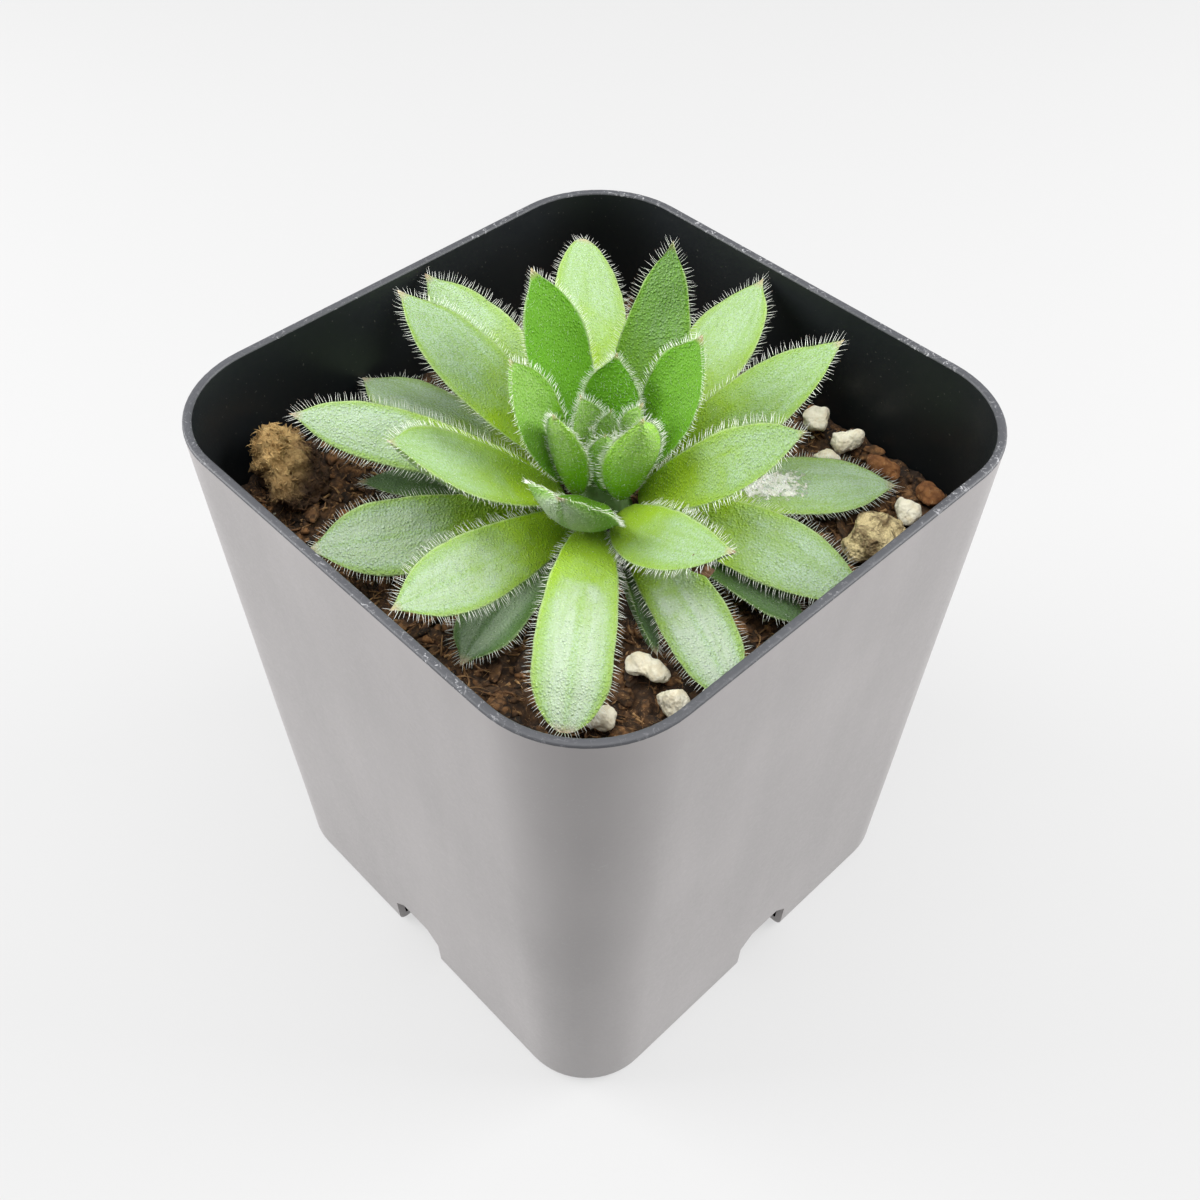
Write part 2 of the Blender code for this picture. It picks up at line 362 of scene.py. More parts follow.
def finish_group(name, values=(), colours=()):
    """A node group made once, from a function that returns its colour, roughness and height.

    The group takes a place, the named values and the named colours.
    """
    def wrap(build):
        def group():
            made = bpy.data.node_groups.get(name)
            if made:
                return made
            made = bpy.data.node_groups.new(name, "ShaderNodeTree")
            given = {"Place": "Vector", **dict.fromkeys(values, "Float"),
                     **dict.fromkeys(colours, "Color")}
            for label, kind in given.items():
                made.interface.new_socket(name=label, in_out="INPUT",
                                          socket_type="NodeSocket" + kind)
            for label, kind in FINISH_OUTPUTS.items():
                made.interface.new_socket(name=label, in_out="OUTPUT",
                                          socket_type="NodeSocket" + kind)
            results = build(made, made.nodes.new("NodeGroupInput").outputs)
            output = made.nodes.new("NodeGroupOutput")
            for label, socket in zip(FINISH_OUTPUTS, results):
                made.links.new(socket, output.inputs[label])
            return made
        return group
    return wrap


def times(tree, first, *others, clamp=False):
    """The product of some values; only the last product is clamped."""
    for k, other in enumerate(others):
        first = calc(tree, "MULTIPLY", first, other, clamp=clamp and k == len(others) - 1)
    return first


def scaled(tree, value, factor, added):
    """value x factor + added"""
    return calc(tree, "MULTIPLY_ADD", value, factor, added)


def brighten(tree, colour, value):
    return put(tree, "HueSaturation", {"Value": value, "Color": colour}).outputs[0]


def cells(tree, where, scale):
    """Distance from the middle of the nearest of many small cells."""
    return put(tree, "TexVoronoi", {"Vector": where, "Scale": scale}).outputs["Distance"]


def height_of(tree, place):
    return put(tree, "SeparateXYZ", {0: place}).outputs["Z"]


def attribute(tree, name):
    return put(tree, "Attribute", attribute_name=name).outputs["Fac"]


def object_place(tree):
    return put(tree, "TexCoord").outputs["Object"]


def new_material(name):
    """A material with a Principled shader and nothing else but its output."""
    material = bpy.data.materials.new(name)
    material.use_nodes = True
    tree = material.node_tree
    return material, tree, tree.nodes["Principled BSDF"]


def link_finish(tree, shader, colour, rough, height, depth, strength=1.0):
    """Join a colour, a roughness and a height, as a bump so deep, to the shader."""
    tree.links.new(colour, shader.inputs["Base Color"])
    tree.links.new(rough, shader.inputs["Roughness"])
    bump = put(tree, "Bump", {"Height": height, "Strength": strength, "Distance": depth})
    tree.links.new(bump.outputs["Normal"], shader.inputs["Normal"])


FINISH_OUTPUTS = {"Color": "Color", "Roughness": "Float", "Height": "Float"}


@finish_group("Leaf Skin", ("Along", "Across", "Tone", "Frost", "Silver", "Scuff", "Vivid"),
              ("Root Color", "Blade Color", "Frost Color"))
def leaf_skin_group(tree, given):
    """Leaf flesh: lime at the root and margins, a frosted blade, painted highlight in two silver
    bands, papillae with painted highlights on their tops, a dry tip.
    """
    place, along, across, root = (given[key] for key in ("Place", "Along", "Across", "Root Color"))
    off_middle = calc(tree, "ABSOLUTE", across)
    grain = clouds(tree, place, 5000, 1.0)
    fine_grain = clouds(tree, place, 7600, 1.0)
    mottle = clouds(tree, place, 330, 3.0)
    streak_place = put(tree, "CombineXYZ", {0: times(tree, across, 5.0), 1: times(tree, along, 2.2),
                                            2: times(tree, given["Tone"], 40.0)})
    streak = clouds(tree, streak_place.outputs[0], 1.0, 3.0, 0.6)
    wander = calc(tree, "ADD", along, scaled(tree, mottle, 0.5, -0.25))

    youth = fade(tree, wander, 0.26, 0.80, 1.0, 0.0)
    colour = blend(tree, youth, given["Blade Color"], root)
    colour = blend(tree, times(tree, fade(tree, off_middle, 0.66, 1.0), 0.55), colour, root)
    colour = blend(tree, given["Vivid"], colour, shade(VIVID_GREEN))

    bloom = times(tree, given["Frost"], fade(tree, wander, 0.24, 0.74, 0.03, 1.0),
                  fade(tree, off_middle, 0.60, 0.98, 1.0, 0.35),
                  fade(tree, streak, 0.25, 0.7, 0.55, 1.1),
                  fade(tree, grain, 0.32, 0.62, 0.40, 1.10), clamp=True)
    colour = blend(tree, bloom, colour, given["Frost Color"])

    # painted highlight: two silver bands either side of the middle stand for the lights' reflection
    highlight_stripes = times(tree, fade(tree, off_middle, 0.03, 0.16, 0.20, 1.0),
                 fade(tree, off_middle, 0.45, 0.80, 1.0, 0.0))
    painted_highlight_mask = times(tree, given["Silver"], highlight_stripes, fade(tree, wander, 0.40, 0.66),
                  fade(tree, streak, 0.20, 0.55, 0.50, 1.0),
                  fade(tree, fine_grain, 0.30, 0.55, 0.65, 1.0), clamp=True)
    colour = blend(tree, painted_highlight_mask, colour, shade(PAINTED_HIGHLIGHT_GREEN))

    off_half = calc(tree, "ABSOLUTE", calc(tree, "SUBTRACT", along, 0.50))
    powder = times(tree, fade(tree, off_half, 0.04, 0.26, 1.0, 0.0),
                   fade(tree, off_middle, 0.2, 0.85, 1.0, 0.0))
    flakes = clouds(tree, place, 1300, 6.0, 0.8)
    powder = calc(tree, "ADD", powder, scaled(tree, flakes, 3.2, -1.85))
    powder = times(tree, fade(tree, powder, 0.38, 0.60), given["Scuff"], clamp=True)
    colour = blend(tree, powder, colour, shade(POWDER_WHITE))
    colour = brighten(tree, colour, fade(tree, given["Tone"], 0.0, 1.0, 0.92, 1.06))

    papillae_and_highlights = fade(tree, cells(tree, place, 2700.0), 0.05, 0.55, 1.0, 0.0)
    # painted highlights: the papillae tops are lightened and the gaps between them darkened
    colour = brighten(tree, colour, fade(tree, papillae_and_highlights, 0.0, 1.0, 0.90, 1.10))
    pores = fade(tree, clouds(tree, place, 2300, 2.0, 0.6), 0.66, 0.76, 0.0, 0.45)
    colour = blend(tree, pores, colour, shade(PORE_GREEN))
    colour = blend(tree, fade(tree, off_middle, 0.90, 1.0, 0.0, 0.5), colour, shade(MARGIN_GREEN))
    colour = blend(tree, fade(tree, along, 0.955, 1.0, 0.0, 0.8), colour, shade(TIP_BROWN))

    rough = scaled(tree, powder, 0.25, scaled(tree, painted_highlight_mask, -0.16, 0.56))
    height = scaled(tree, mottle, 1.2, scaled(tree, fine_grain, 0.5, grain))
    height = scaled(tree, powder, 0.7, scaled(tree, papillae_and_highlights, 0.9, height))
    return colour, rough, height


@finish_group("Peat", ("Tone",), ("Dark Color", "Light Color", "Thread Color"))
def peat_group(tree, given):
    """Crumbly peat or bark: two browns, painted shade in the hollows between crumbs, and paler
    threads.
    """
    place, dark = given["Place"], given["Dark Color"]
    patches = clouds(tree, place, 420, 4.0, 0.6)
    crumbs = cells(tree, place, 1400.0)
    threads = clouds(tree, place, 900, 5.0, 0.7, 2.5)
    warmth = calc(tree, "ADD", given["Tone"], scaled(tree, patches, 1.5, -0.85), clamp=True)
    colour = blend(tree, warmth, dark, given["Light Color"])
    colour = blend(tree, fade(tree, threads, 0.56, 0.66, 0.0, 0.8), colour, given["Thread Color"])
    # painted shade: the hollows between crumbs, which the bump sinks, are darkened
    colour = blend(tree, fade(tree, crumbs, 0.35, 0.75, 0.0, 0.7), colour, dark)
    rough = fade(tree, patches, 0.3, 0.7, 0.75, 0.95)
    height = scaled(tree, threads, 1.5, times(tree, crumbs, -1.0))
    return colour, rough, height


@finish_group("Mineral", ("Stain",), ("Clean Color", "Stain Color"))
def mineral_group(tree, given):
    """A porous grain or stone: stains, pits and darker seams."""
    place, stain = given["Place"], given["Stain Color"]
    stains = clouds(tree, place, 560, 5.0, 0.65, 0.6)
    seams = clouds(tree, place, 950, 6.0, 0.75, 1.2)
    pits = cells(tree, place, 2600.0)
    stained = times(tree, fade(tree, stains, 0.42, 0.66), given["Stain"])
    colour = blend(tree, stained, given["Clean Color"], stain)
    dirt = times(tree, fade(tree, seams, 0.60, 0.72), given["Stain"])
    colour = blend(tree, dirt, colour, shade(SEAM_BROWN))
    colour = blend(tree, fade(tree, pits, 0.0, 0.22, 0.35, 0.0), colour, stain)
    return colour, fade(tree, stains, 0.3, 0.7, 0.7, 0.9), calc(tree, "ADD", pits, seams)


@finish_group("Moulded Plastic", ("Scuffs", "Dust", "Base Roughness"),
              ("Base Color", "Scuff Color"))
def moulded_group(tree, given):
    """Thin moulded plastic: faint flow marks, rubbed edges, specks of dust."""
    place = given["Place"]
    tall = put(tree, "Mapping", {"Vector": place, "Scale": (1.0, 1.0, 0.18)}).outputs[0]
    flow = clouds(tree, tall, 120, 3.0, 0.55)
    cloudy = clouds(tree, place, 45, 2.0)
    scratch = clouds(tree, place, 1300, 5.0, 0.75, 1.5)
    specks = clouds(tree, place, 3300, 0.0)
    worn = fade(tree, clouds(tree, place, 75, 1.0), 0.40, 0.62, 0.15, 1.0)
    value = calc(tree, "ADD", fade(tree, flow, 0.25, 0.75, 0.94, 1.03),
                 fade(tree, cloudy, 0.3, 0.7, -0.04, 0.04))
    colour = brighten(tree, given["Base Color"], value)
    rubbed = times(tree, fade(tree, scratch, 0.55, 0.68), given["Scuffs"], worn)
    colour = blend(tree, rubbed, colour, given["Scuff Color"])
    dusty = times(tree, fade(tree, specks, 0.80, 0.86), given["Dust"])
    colour = blend(tree, dusty, colour, shade(DUST_GREY))
    rough = calc(tree, "ADD", given["Base Roughness"], fade(tree, scratch, 0.3, 0.75, -0.04, 0.12))
    height = scaled(tree, scratch, 0.35, times(tree, flow, 0.4))
    return colour, rough, height


# ---------------------------------------------------------------- materials

def finished_material(name, group, depth, colours, values=(), marks=(), strength=1.0,
                      shader_values=()):
    """A material from one of the groups; its marks are read from the mesh's attributes."""
    material, tree, shader = new_material(name)
    feeds = {"Place": object_place(tree), **dict(values)}
    feeds.update((label + " Color", shade(colour)) for label, colour in colours.items())
    feeds.update((label, attribute(tree, label.lower())) for label in marks)
    finish = put(tree, "Group", feeds, node_tree=group())
    link_finish(tree, shader, *finish.outputs, depth, strength)
    for label, value in dict(shader_values).items():
        shader.inputs[label].default_value = value
    return material


def leaf_material(whorl, look):
    return finished_material(
        "leaf_" + whorl, leaf_skin_group, 0.16 * MM,
        {"Root": look.root_colour, "Blade": look.blade_colour, "Frost": look.frost_colour},
        marks=("Along", "Across", "Tone", "Frost", "Silver", "Scuff", "Vivid"), strength=0.9,
        shader_values={"IOR": 1.42, "Specular IOR Level": 0.32, "Subsurface Weight": 0.12,
                       "Subsurface Radius": (0.7, 1.0, 0.25), "Subsurface Scale": 1.2 * MM,
                       "Sheen Weight": 0.05, "Sheen Roughness": 0.5})


def hair_material(look):
    """White hairs, clearer at the root and often brown at the very tip."""
    material, tree, shader = new_material("leaf_hairs")
    reach = attribute(tree, "reach")
    colour = blend(tree, fade(tree, reach, 0.0, 0.4), shade(look.root_colour), shade(look.colour))
    browned = times(tree, fade(tree, reach, 0.80, 1.0),
                    fade(tree, attribute(tree, "tone"), 0.45, 0.9))
    colour = blend(tree, browned, colour, shade(look.tip_colour))
    tree.links.new(colour, shader.inputs["Base Color"])
    tree.links.new(fade(tree, reach, 0.0, 1.0, 0.35, 0.55), shader.inputs["Roughness"])
    return material


def peat_material(name, dark, light, thread, depth):
    return finished_material(name, peat_group, depth,
                             {"Dark": dark, "Light": light, "Thread": thread}, marks=("Tone",))


def mineral_material(name, clean, stain, amount, depth):
    return finished_material(name, mineral_group, depth, {"Clean": clean, "Stain": stain},
                             {"Stain": amount})


def plastic_material(name, colour, scuff, scuffs, dust, roughness, specular):
    return finished_material(
        name, moulded_group, 0.05 * MM, {"Base": colour, "Scuff": scuff},
        {"Scuffs": scuffs, "Dust": dust, "Base Roughness": roughness}, strength=0.6,
        shader_values={"IOR": 1.5, "Specular IOR Level": specular})


# ---------------------------------------------------------------- settings

def length(name, description, millimetres, low=0.0, high=200.0):
    return FloatProperty(name=name, description=description, default=millimetres * MM,
                         min=low * MM, max=high * MM, unit="LENGTH", precision=5)


def power(name, description, watts):
    return FloatProperty(name=name, description=description, default=watts, min=0.0,
                         unit="POWER")


def count(name, description, value, low=0, high=10000):
    return IntProperty(name=name, description=description, default=value, min=low, max=high)


def turn(name, description, degrees):
    return FloatProperty(name=name, description=description, default=math.radians(degrees),
                         unit="ROTATION")


def colour(name, description, value):
    return FloatVectorProperty(name=name, description=description, default=value, size=3,
                               min=0.0, max=1.0, subtype="COLOR")


def share(name, description, value):
    return FloatProperty(name=name, description=description, default=value, min=0.0, max=1.0,
                         subtype="FACTOR")


class PotSettings(bpy.types.PropertyGroup):
    """Sizes and colours of the pot"""
    base_side: length("Base side", "Width of the pot at its foot", 64.0)
    top_corner: length("Rim corner", "Corner radius at the rim", 13.0)
    base_corner: length("Foot corner", "Corner radius at the foot", 9.5)
    wall: length("Wall", "Thickness of the wall", 1.0)
    foot_round: length("Foot round", "Round between the walls and the underside", 1.2)
    rim_round: length("Rim round", "Round along the rim's two edges", 0.28)
    notch_width: length("Notch width", "Width of the drain notch in each wall", 9.0)
    notch_height: length("Notch height", "Height of the drain notch", 7.0)
    notch_shoulder: length("Notch shoulder", "Slope at the notch's upper corners", 2.0)
    notch_depth: length("Notch depth", "How far the notch runs in under the floor", 3.0)
    corner_steps: count("Corner steps", "Faces round each corner", 16, 4, 48)
    side_steps: count("Side steps", "Faces along each wall", 20, 2, 80)
    wave: length("Wave", "How far the thin walls wander from flat", 0.10)
    # painted light: the outside's paler grey lightens the pot's plastic where the light falls
    outside_painted_light_colour: colour("Outside", "Colour of the outer wall", (0.31, 0.293, 0.292))
    rim_colour: colour("Rim", "Colour of the rim", (0.070, 0.072, 0.080))
    # painted shade: the inside's near-black stands for the shade within the pot
    inside_painted_shade_colour: colour("Inside", "Colour of the inner wall", (0.010, 0.012, 0.0135))
    scuff_colour: colour("Scuffs", "Colour of rubbed plastic", (0.62, 0.62, 0.64))


class LeafLook(bpy.types.PropertyGroup):
    """Colours of one whorl of leaves"""
    root_colour: colour("Root", "Colour at the leaf's root and margins", (0.27, 0.55, 0.03))
    blade_colour: colour("Blade", "Colour of the blade under its bloom", (0.28, 0.52, 0.12))
    frost_colour: colour("Frost", "Colour of the pale bloom", (0.50, 0.69, 0.42))
    frost: share("Bloom", "How much of the blade the bloom covers", 0.7)


class LeafSettings(bpy.types.PropertyGroup):
    """Shape and colours of the leaves"""
    plump: share("Plumpness", "Rise of the upper side, as a share of half its width", 0.16)
    margin_crease: share("Margin", "How sharp the margins stay", 0.55)
    tip_reach: length("Tip reach", "How far a pointed tip runs out past the leaf", 0.5)
    __annotations__.update({whorl: PointerProperty(type=LeafLook, name=whorl.title() + " leaves")
                            for whorl in WHORLS})


class HairSettings(bpy.types.PropertyGroup):
    """Hairs on the leaves"""
    spacing: length("Spacing", "Distance between two hairs of the margin", 0.32)
    fringe: length("Fringe", "Length of a hair of the margin", 1.4)
    radius: length("Radius", "Radius of a hair at its root", 0.038)
    down: length("Down", "Length of the short hairs on the blade", 0.32)
    root_colour: colour("Root", "Colour of a hair at its root", (0.55, 0.72, 0.40))
    colour: colour("Hair", "Colour of the hairs", (0.93, 0.95, 0.88))
    tip_colour: colour("Tip", "Colour of a dry hair tip", (0.55, 0.38, 0.28))


class SoilSettings(bpy.types.PropertyGroup):
    """The soil and what lies on it"""
    crumbs: count("Crumbs", "Number of peat crumbs", 2300)
    fibres: count("Fibres", "Number of peat fibres", 2400)
    grit: count("Grit", "Number of fine white grains", 90)
    dark_colour: colour("Dark", "Colour of moist peat", (0.022, 0.012, 0.006))
    light_colour: colour("Light", "Colour of drier peat", (0.32, 0.155, 0.058))
    thread_colour: colour("Threads", "Colour of the coarse threads", (0.52, 0.29, 0.12))
    perlite_colour: colour("Perlite", "Colour of clean perlite", (0.97, 0.92, 0.74))
    stone_colour: colour("Stone", "Colour of the rough stone", (0.88, 0.72, 0.38))


class StageSettings(bpy.types.PropertyGroup):
    """Floor, lights and camera"""
    floor_colour: colour("Floor", "Colour of the floor", (0.15, 0.15, 0.15))
    floor_glow: share("Floor glow", "Light that the floor gives off", 0.60)
    sky: share("Sky", "Strength of the even light", 0.33)
    left: power("Left", "Power of the light on the left", 3.7)
    right: power("Right", "Power of the light on the right", 3.6)
    top: power("Top", "Power of the light above", 2.7)
    lens: FloatProperty(name="Lens", description="Focal length in millimetres", default=40.3)
    distance: length("Distance", "From the camera to the point it circles", 173.3, high=2000.0)
    circled_height: length("Circled height", "Height of that point on the pot's axis", 39.0)
    azimuth: turn("Azimuth", "Turn of the camera round the pot", 45.98)
    elevation: turn("Elevation", "Height of the camera above level", 50.05)


# ---------------------------------------------------------------- pot

NOTCH_SHIFTS = {0: 1.5 * MM, 90: 1.0 * MM, 180: 0.0, 270: -1.0 * MM}      # wall's turn: shift


def rounded_square(name, side, corner, height, corner_steps, side_steps):
    """A closed outline: a plane with bevelled corners and divided sides, its face removed."""
    obj = primitive("plane", name, size=side, location=(0, 0, height))
    edit(obj)
    bpy.ops.mesh.bevel(offset=corner, offset_type="OFFSET", segments=corner_steps,
                       affect="VERTICES", profile=0.5)
    bpy.ops.mesh.delete(type="ONLY_FACE")
    close_edit()
    edit_where(obj, "EDGE", lambda edge: math.dist(*ends(obj, edge)) > corner)
    bpy.ops.mesh.subdivide(number_cuts=side_steps - 1)
    close_edit()
    return obj


def notch_cutter(settings, turn, shift):
    """A block with sloping shoulders across the foot of one wall."""
    inner = settings.base_side / 2 - settings.notch_depth
    outer = settings.base_side / 2 + 5 * MM
    obj = primitive("cube", "notch_cutter",
                    (outer - inner, settings.notch_width, settings.notch_height + 1 * MM), size=1.0,
                    location=((inner + outer) / 2, shift, settings.notch_height / 2 - 0.5 * MM))
    top = settings.notch_height - 0.1 * MM
    edit_where(obj, "EDGE", lambda edge: all(end.z > top for end in ends(obj, edge))
               and abs(np.subtract(*ends(obj, edge))[1]) < MM)
    bpy.ops.mesh.bevel(offset=settings.notch_shoulder, segments=1, affect="EDGES")
    close_edit()
    obj.rotation_euler.z = math.radians(turn)
    settle_place(obj)
    return obj


class SUCCULENT_OT_pot(bpy.types.Operator):
    """Make the thin-walled square pot with its rim and drain notches"""
    bl_idname = "succulent.pot"
    bl_label = "Pot"

    def execute(self, context):
        settings = context.scene.succulent_pot
        top = POT_HIGH.z
        steps = (settings.corner_steps, settings.side_steps)
        foot = rounded_square("pot_shell", settings.base_side, settings.base_corner, 0.0, *steps)
        rim = rounded_square("rim", POT_HIGH.x - POT_LOW.x, settings.top_corner, top, *steps)
        pot = join(foot, rim)
        edit(pot, "SELECT", "EDGE")
        bpy.ops.mesh.bridge_edge_loops(type="SINGLE", number_cuts=14, interpolation="LINEAR")
        close_edit()
        self.wave_walls(pot, settings.wave, top)

        def at_foot(edge):
            return all(end.z < HAIRLINE for end in ends(pot, edge))

        edit_where(pot, "EDGE", at_foot)
        bpy.ops.mesh.edge_face_add()
        bpy.ops.mesh.select_all(action="SELECT")
        bpy.ops.mesh.normals_make_consistent(inside=False)
        close_edit()
        edit_where(pot, "EDGE", at_foot)
        bpy.ops.mesh.bevel(offset=settings.foot_round, segments=4, affect="EDGES")
        close_edit()
        add_modifier(pot, "SOLIDIFY", thickness=settings.wall, offset=-1.0, use_even_offset=True)
        edit_where(pot, "EDGE", lambda edge: self.runs_along_rim(
            *ends(pot, edge), top, settings.top_corner))
        bpy.ops.mesh.bevel(offset=settings.rim_round, segments=3, affect="EDGES")
        close_edit()
        for turn, shift in NOTCH_SHIFTS.items():
            cutter = notch_cutter(settings, turn, shift)
            add_modifier(pot, "BOOLEAN", operation="DIFFERENCE", solver="EXACT", object=cutter)
            bpy.data.objects.remove(cutter, do_unlink=True)
        self.paint(pot, settings, top)
        pick(pot)
        bpy.ops.object.shade_smooth_by_angle(angle=math.radians(32))
        finish_piece(pot, None, "pot_plastic", "pot")
        return {"FINISHED"}

    @staticmethod
    def wave_walls(pot, wave, top):
        """Let the thin walls wander a little between the foot and the rim."""
        points = points_of(pot.data)
        for point in points:
            held = math.sin(math.pi * min(max(point[2] / top, 0), 1)) ** 0.5
            swell = noise.noise(Vector(point) * 38 + Vector((0, 0, 4.2))) * wave * held
            flat = np.array((point[0], point[1], 0))
            point += unit(flat) * swell
        set_points(pot.data, points)

    @staticmethod
    def runs_along_rim(first, second, top, corner):
        """True for the rim's two long edges, not for the short ones across its thickness."""
        if min(first.z, second.z) <= top - HAIRLINE:
            return False
        along = (second - first).normalized()
        middle = (first + second) / 2
        if min(abs(middle.x), abs(middle.y)) < POT_HIGH.x - corner:
            outward = Vector((1, 0, 0)) if abs(middle.x) > abs(middle.y) else Vector((0, 1, 0))
        else:
            outward = Vector((middle.x, middle.y, 0)).normalized()
        return abs(along.dot(outward)) < 0.72

    @staticmethod
    def paint(pot, settings, top):
        """One plastic in three tones: a grey outside that is painted light, a slate rim, and a
        near-black inside that is painted shade.
        """
        pot.data.materials.clear()
        finishes = (        # name, colour, scuffs, dust, roughness, specular level
            # the outside's colour carries painted light and the inside's colour painted shade
            ("pot_outside", settings.outside_painted_light_colour, 0.12, 0.0, 0.34, 0.6),
            ("pot_rim", settings.rim_colour, 0.8, 0.0, 0.45, 0.4),
            ("pot_inside", settings.inside_painted_shade_colour, 0.0, 0.12, 0.34, 0.30),
        )
        for name, tint, *levels in finishes:
            pot.data.materials.append(plastic_material(name, tint, settings.scuff_colour, *levels))
        for face in pot.data.polygons:
            middle, normal = face.center, face.normal
            inward = middle.xy.dot(normal.xy) < -0.2 * middle.xy.length
            over_floor = normal.z > 0.5 and middle.z < 5 * MM
            if middle.z > top - 1.3 * settings.rim_round:
                face.material_index = 1
            elif (inward or over_floor) and middle.z > 0.5 * MM:
                face.material_index = 2


# ---------------------------------------------------------------- soil

SOIL_CORNER = 11 * MM


def pot_radius_share(angle, half, corner):
    """How far a rounded square reaches in a direction, as a share of the plain square."""
    c, s = abs(math.cos(angle)), abs(math.sin(angle))
    reach = half / max(c, s)
    x, y = reach * c, reach * s
    if min(x, y) <= half - corner:
        return 1.0
    middle = half - corner
    b = (c + s) * middle
    return (b + math.sqrt(max(b * b - 2 * middle * middle + corner * corner, 0.0))) / reach


# Waves of the soil's surface: height in mm, scale and shift of the noise
SOIL_WAVES = ((1.1, 160, (0, 0, 0)), (0.9, 430, (3, 1, 0)), (0.4, 1000, (0, 5, 2)))
SOIL_SINK = 0.6 * MM


def soil_height(x, y):
    """Height of the crumbly soil surface over the flat soil top."""
    here = Vector((x, y, 0.0))
    return sum(height * MM * noise.noise(here * scale + Vector(shift))
               for height, scale, shift in SOIL_WAVES) - SOIL_SINK


class SUCCULENT_OT_soil(bpy.types.Operator):
    """Make the peat that fills the pot, with a crumbly top"""
    bl_idname = "succulent.soil"
    bl_label = "Soil"
    TOP_STEPS = 150

    def execute(self, context):
        settings = context.scene.succulent_soil
        half = SOIL_HIGH.x
        soil = primitive("grid", "soil_mix", x_subdivisions=self.TOP_STEPS,
                         y_subdivisions=self.TOP_STEPS, size=2 * half,
                         location=(0, 0, SOIL_HIGH.z))
        edit(soil, "DESELECT", "EDGE")
        bpy.ops.mesh.select_non_manifold(extend=False, use_wire=False, use_multi_face=False,
                                         use_non_contiguous=False, use_verts=False)
        narrow = (context.scene.succulent_pot.base_side / 2 - 1.35 * MM) / half
        bpy.ops.mesh.extrude_edges_move(TRANSFORM_OT_translate={
            "value": (0, 0, SOIL_LOW.z - SOIL_HIGH.z)})
        bpy.ops.transform.resize(value=(narrow, narrow, 1.0))
        bpy.ops.mesh.edge_face_add()
        close_edit()
        points = points_of(soil.data)
        for point in points:
            angle = math.atan2(point[1], point[0])
            point[:2] *= pot_radius_share(angle, half, SOIL_CORNER)
            if point[2] > SOIL_HIGH.z - 0.1 * MM:
                point[2] += soil_height(point[0], point[1])
        set_points(soil.data, points)
        edit(soil)
        bpy.ops.mesh.normals_make_consistent(inside=False)
        close_edit()
        set_attribute(soil.data, "tone", 0.35)
        material = peat_material("moist_peat", settings.dark_colour, settings.light_colour,
                                 settings.thread_colour, 0.35 * MM)
        finish_piece(soil, material, "soil", "soil")
        return {"FINISHED"}


def soil_spot(dice, inset, corner):
    """A random spot on the crumbly soil, inside the pot's round corners."""
    half = SOIL_HIGH.x - inset
    while True:
        x, y = dice.uniform(-half, half), dice.uniform(-half, half)
        if max(abs(x), abs(y)) < pot_radius_share(math.atan2(y, x), half, corner) * half:
            return np.array((x, y, SOIL_HIGH.z + soil_height(x, y)))


class SUCCULENT_OT_litter(bpy.types.Operator):
    """Scatter peat crumbs, coarse fibres and fine white grit over the soil"""
    bl_idname = "succulent.litter"
    bl_label = "Crumbs and Fibres"

    def execute(self, context):
        settings = context.scene.succulent_soil
        dice = random.Random(41)
        crumbs = ((1.1, 0.75), (1.5, 0.7), (2.1, 0.5), (2.6, 0.22))      # stretch, height
        self.scatter_lumps("peat_crumbs", dice, settings.crumbs, (0.5, 2.1), crumbs,
                           peat_material("peat_crumbs", settings.dark_colour, settings.light_colour,
                                         settings.thread_colour, 0.2 * MM), "soil")
        self.scatter_lumps("white_grit", dice, settings.grit, (0.35, 1.1), crumbs[:2],
                           mineral_material("white_grit", settings.perlite_colour,
                                            (0.55, 0.42, 0.25), 0.5, 0.1 * MM), "perlite")
        self.scatter_fibres(settings, dice)
        return {"FINISHED"}

    @staticmethod
    def scatter_lumps(name, dice, count, sizes, forms, material, slot):
        shapes = [crumb_shape(seed, *form) for seed, form in enumerate(forms)]
        places = []
        for _ in range(count):
            spot = soil_spot(dice, 0.6 * MM, 10 * MM)
            size = dice.uniform(*sizes) * MM * dice.uniform(0.35, 1.0)
            spot[2] += 0.2 * size
            turn = Matrix.Rotation(dice.uniform(0, 2 * math.pi), 4, "Z")
            tilt = Matrix.Rotation(dice.uniform(-0.9, 0.9), 4, "X")
            places.append(Matrix.Translation(Vector(spot)) @ turn @ tilt @ Matrix.Scale(size, 4))
        obj = lumps(name, shapes, places, [dice.random() for _ in places])
        finish_piece(obj, material, slot)

    @staticmethod
    def scatter_fibres(settings, dice):
        rows = []
        for _ in range(settings.fibres):
            root = soil_spot(dice, 2.6 * MM, 9 * MM)
            heading = dice.uniform(0, 2 * math.pi)
            root[2] += dice.uniform(0.0, 0.35) * MM
            c, s = math.cos(heading), math.sin(heading)
            aim = (c, s, dice.uniform(-0.15, 0.55))
            swing = dice.uniform(-1.1, 1.1)
            rows.append((root, aim, (-s * swing, c * swing, dice.uniform(-0.6, 0.0)),
                         dice.uniform(0.7, 2.8) * MM, dice.uniform(0.06, 0.24) * MM,
                         dice.random()))
        obj = strands("peat_fibres", strand_shape(4, 4), *zip(*rows))
        finish_piece(obj, peat_material("peat_fibres", (0.16, 0.075, 0.028), (0.56, 0.33, 0.14),
                                        (0.66, 0.45, 0.22), 0.1 * MM), "soil")


# ---------------------------------------------------------------- loose pieces

WAISTED_GRAINS = {"perlite_1": 0.22, "perlite_5": 0.18}     # how far each is drawn in

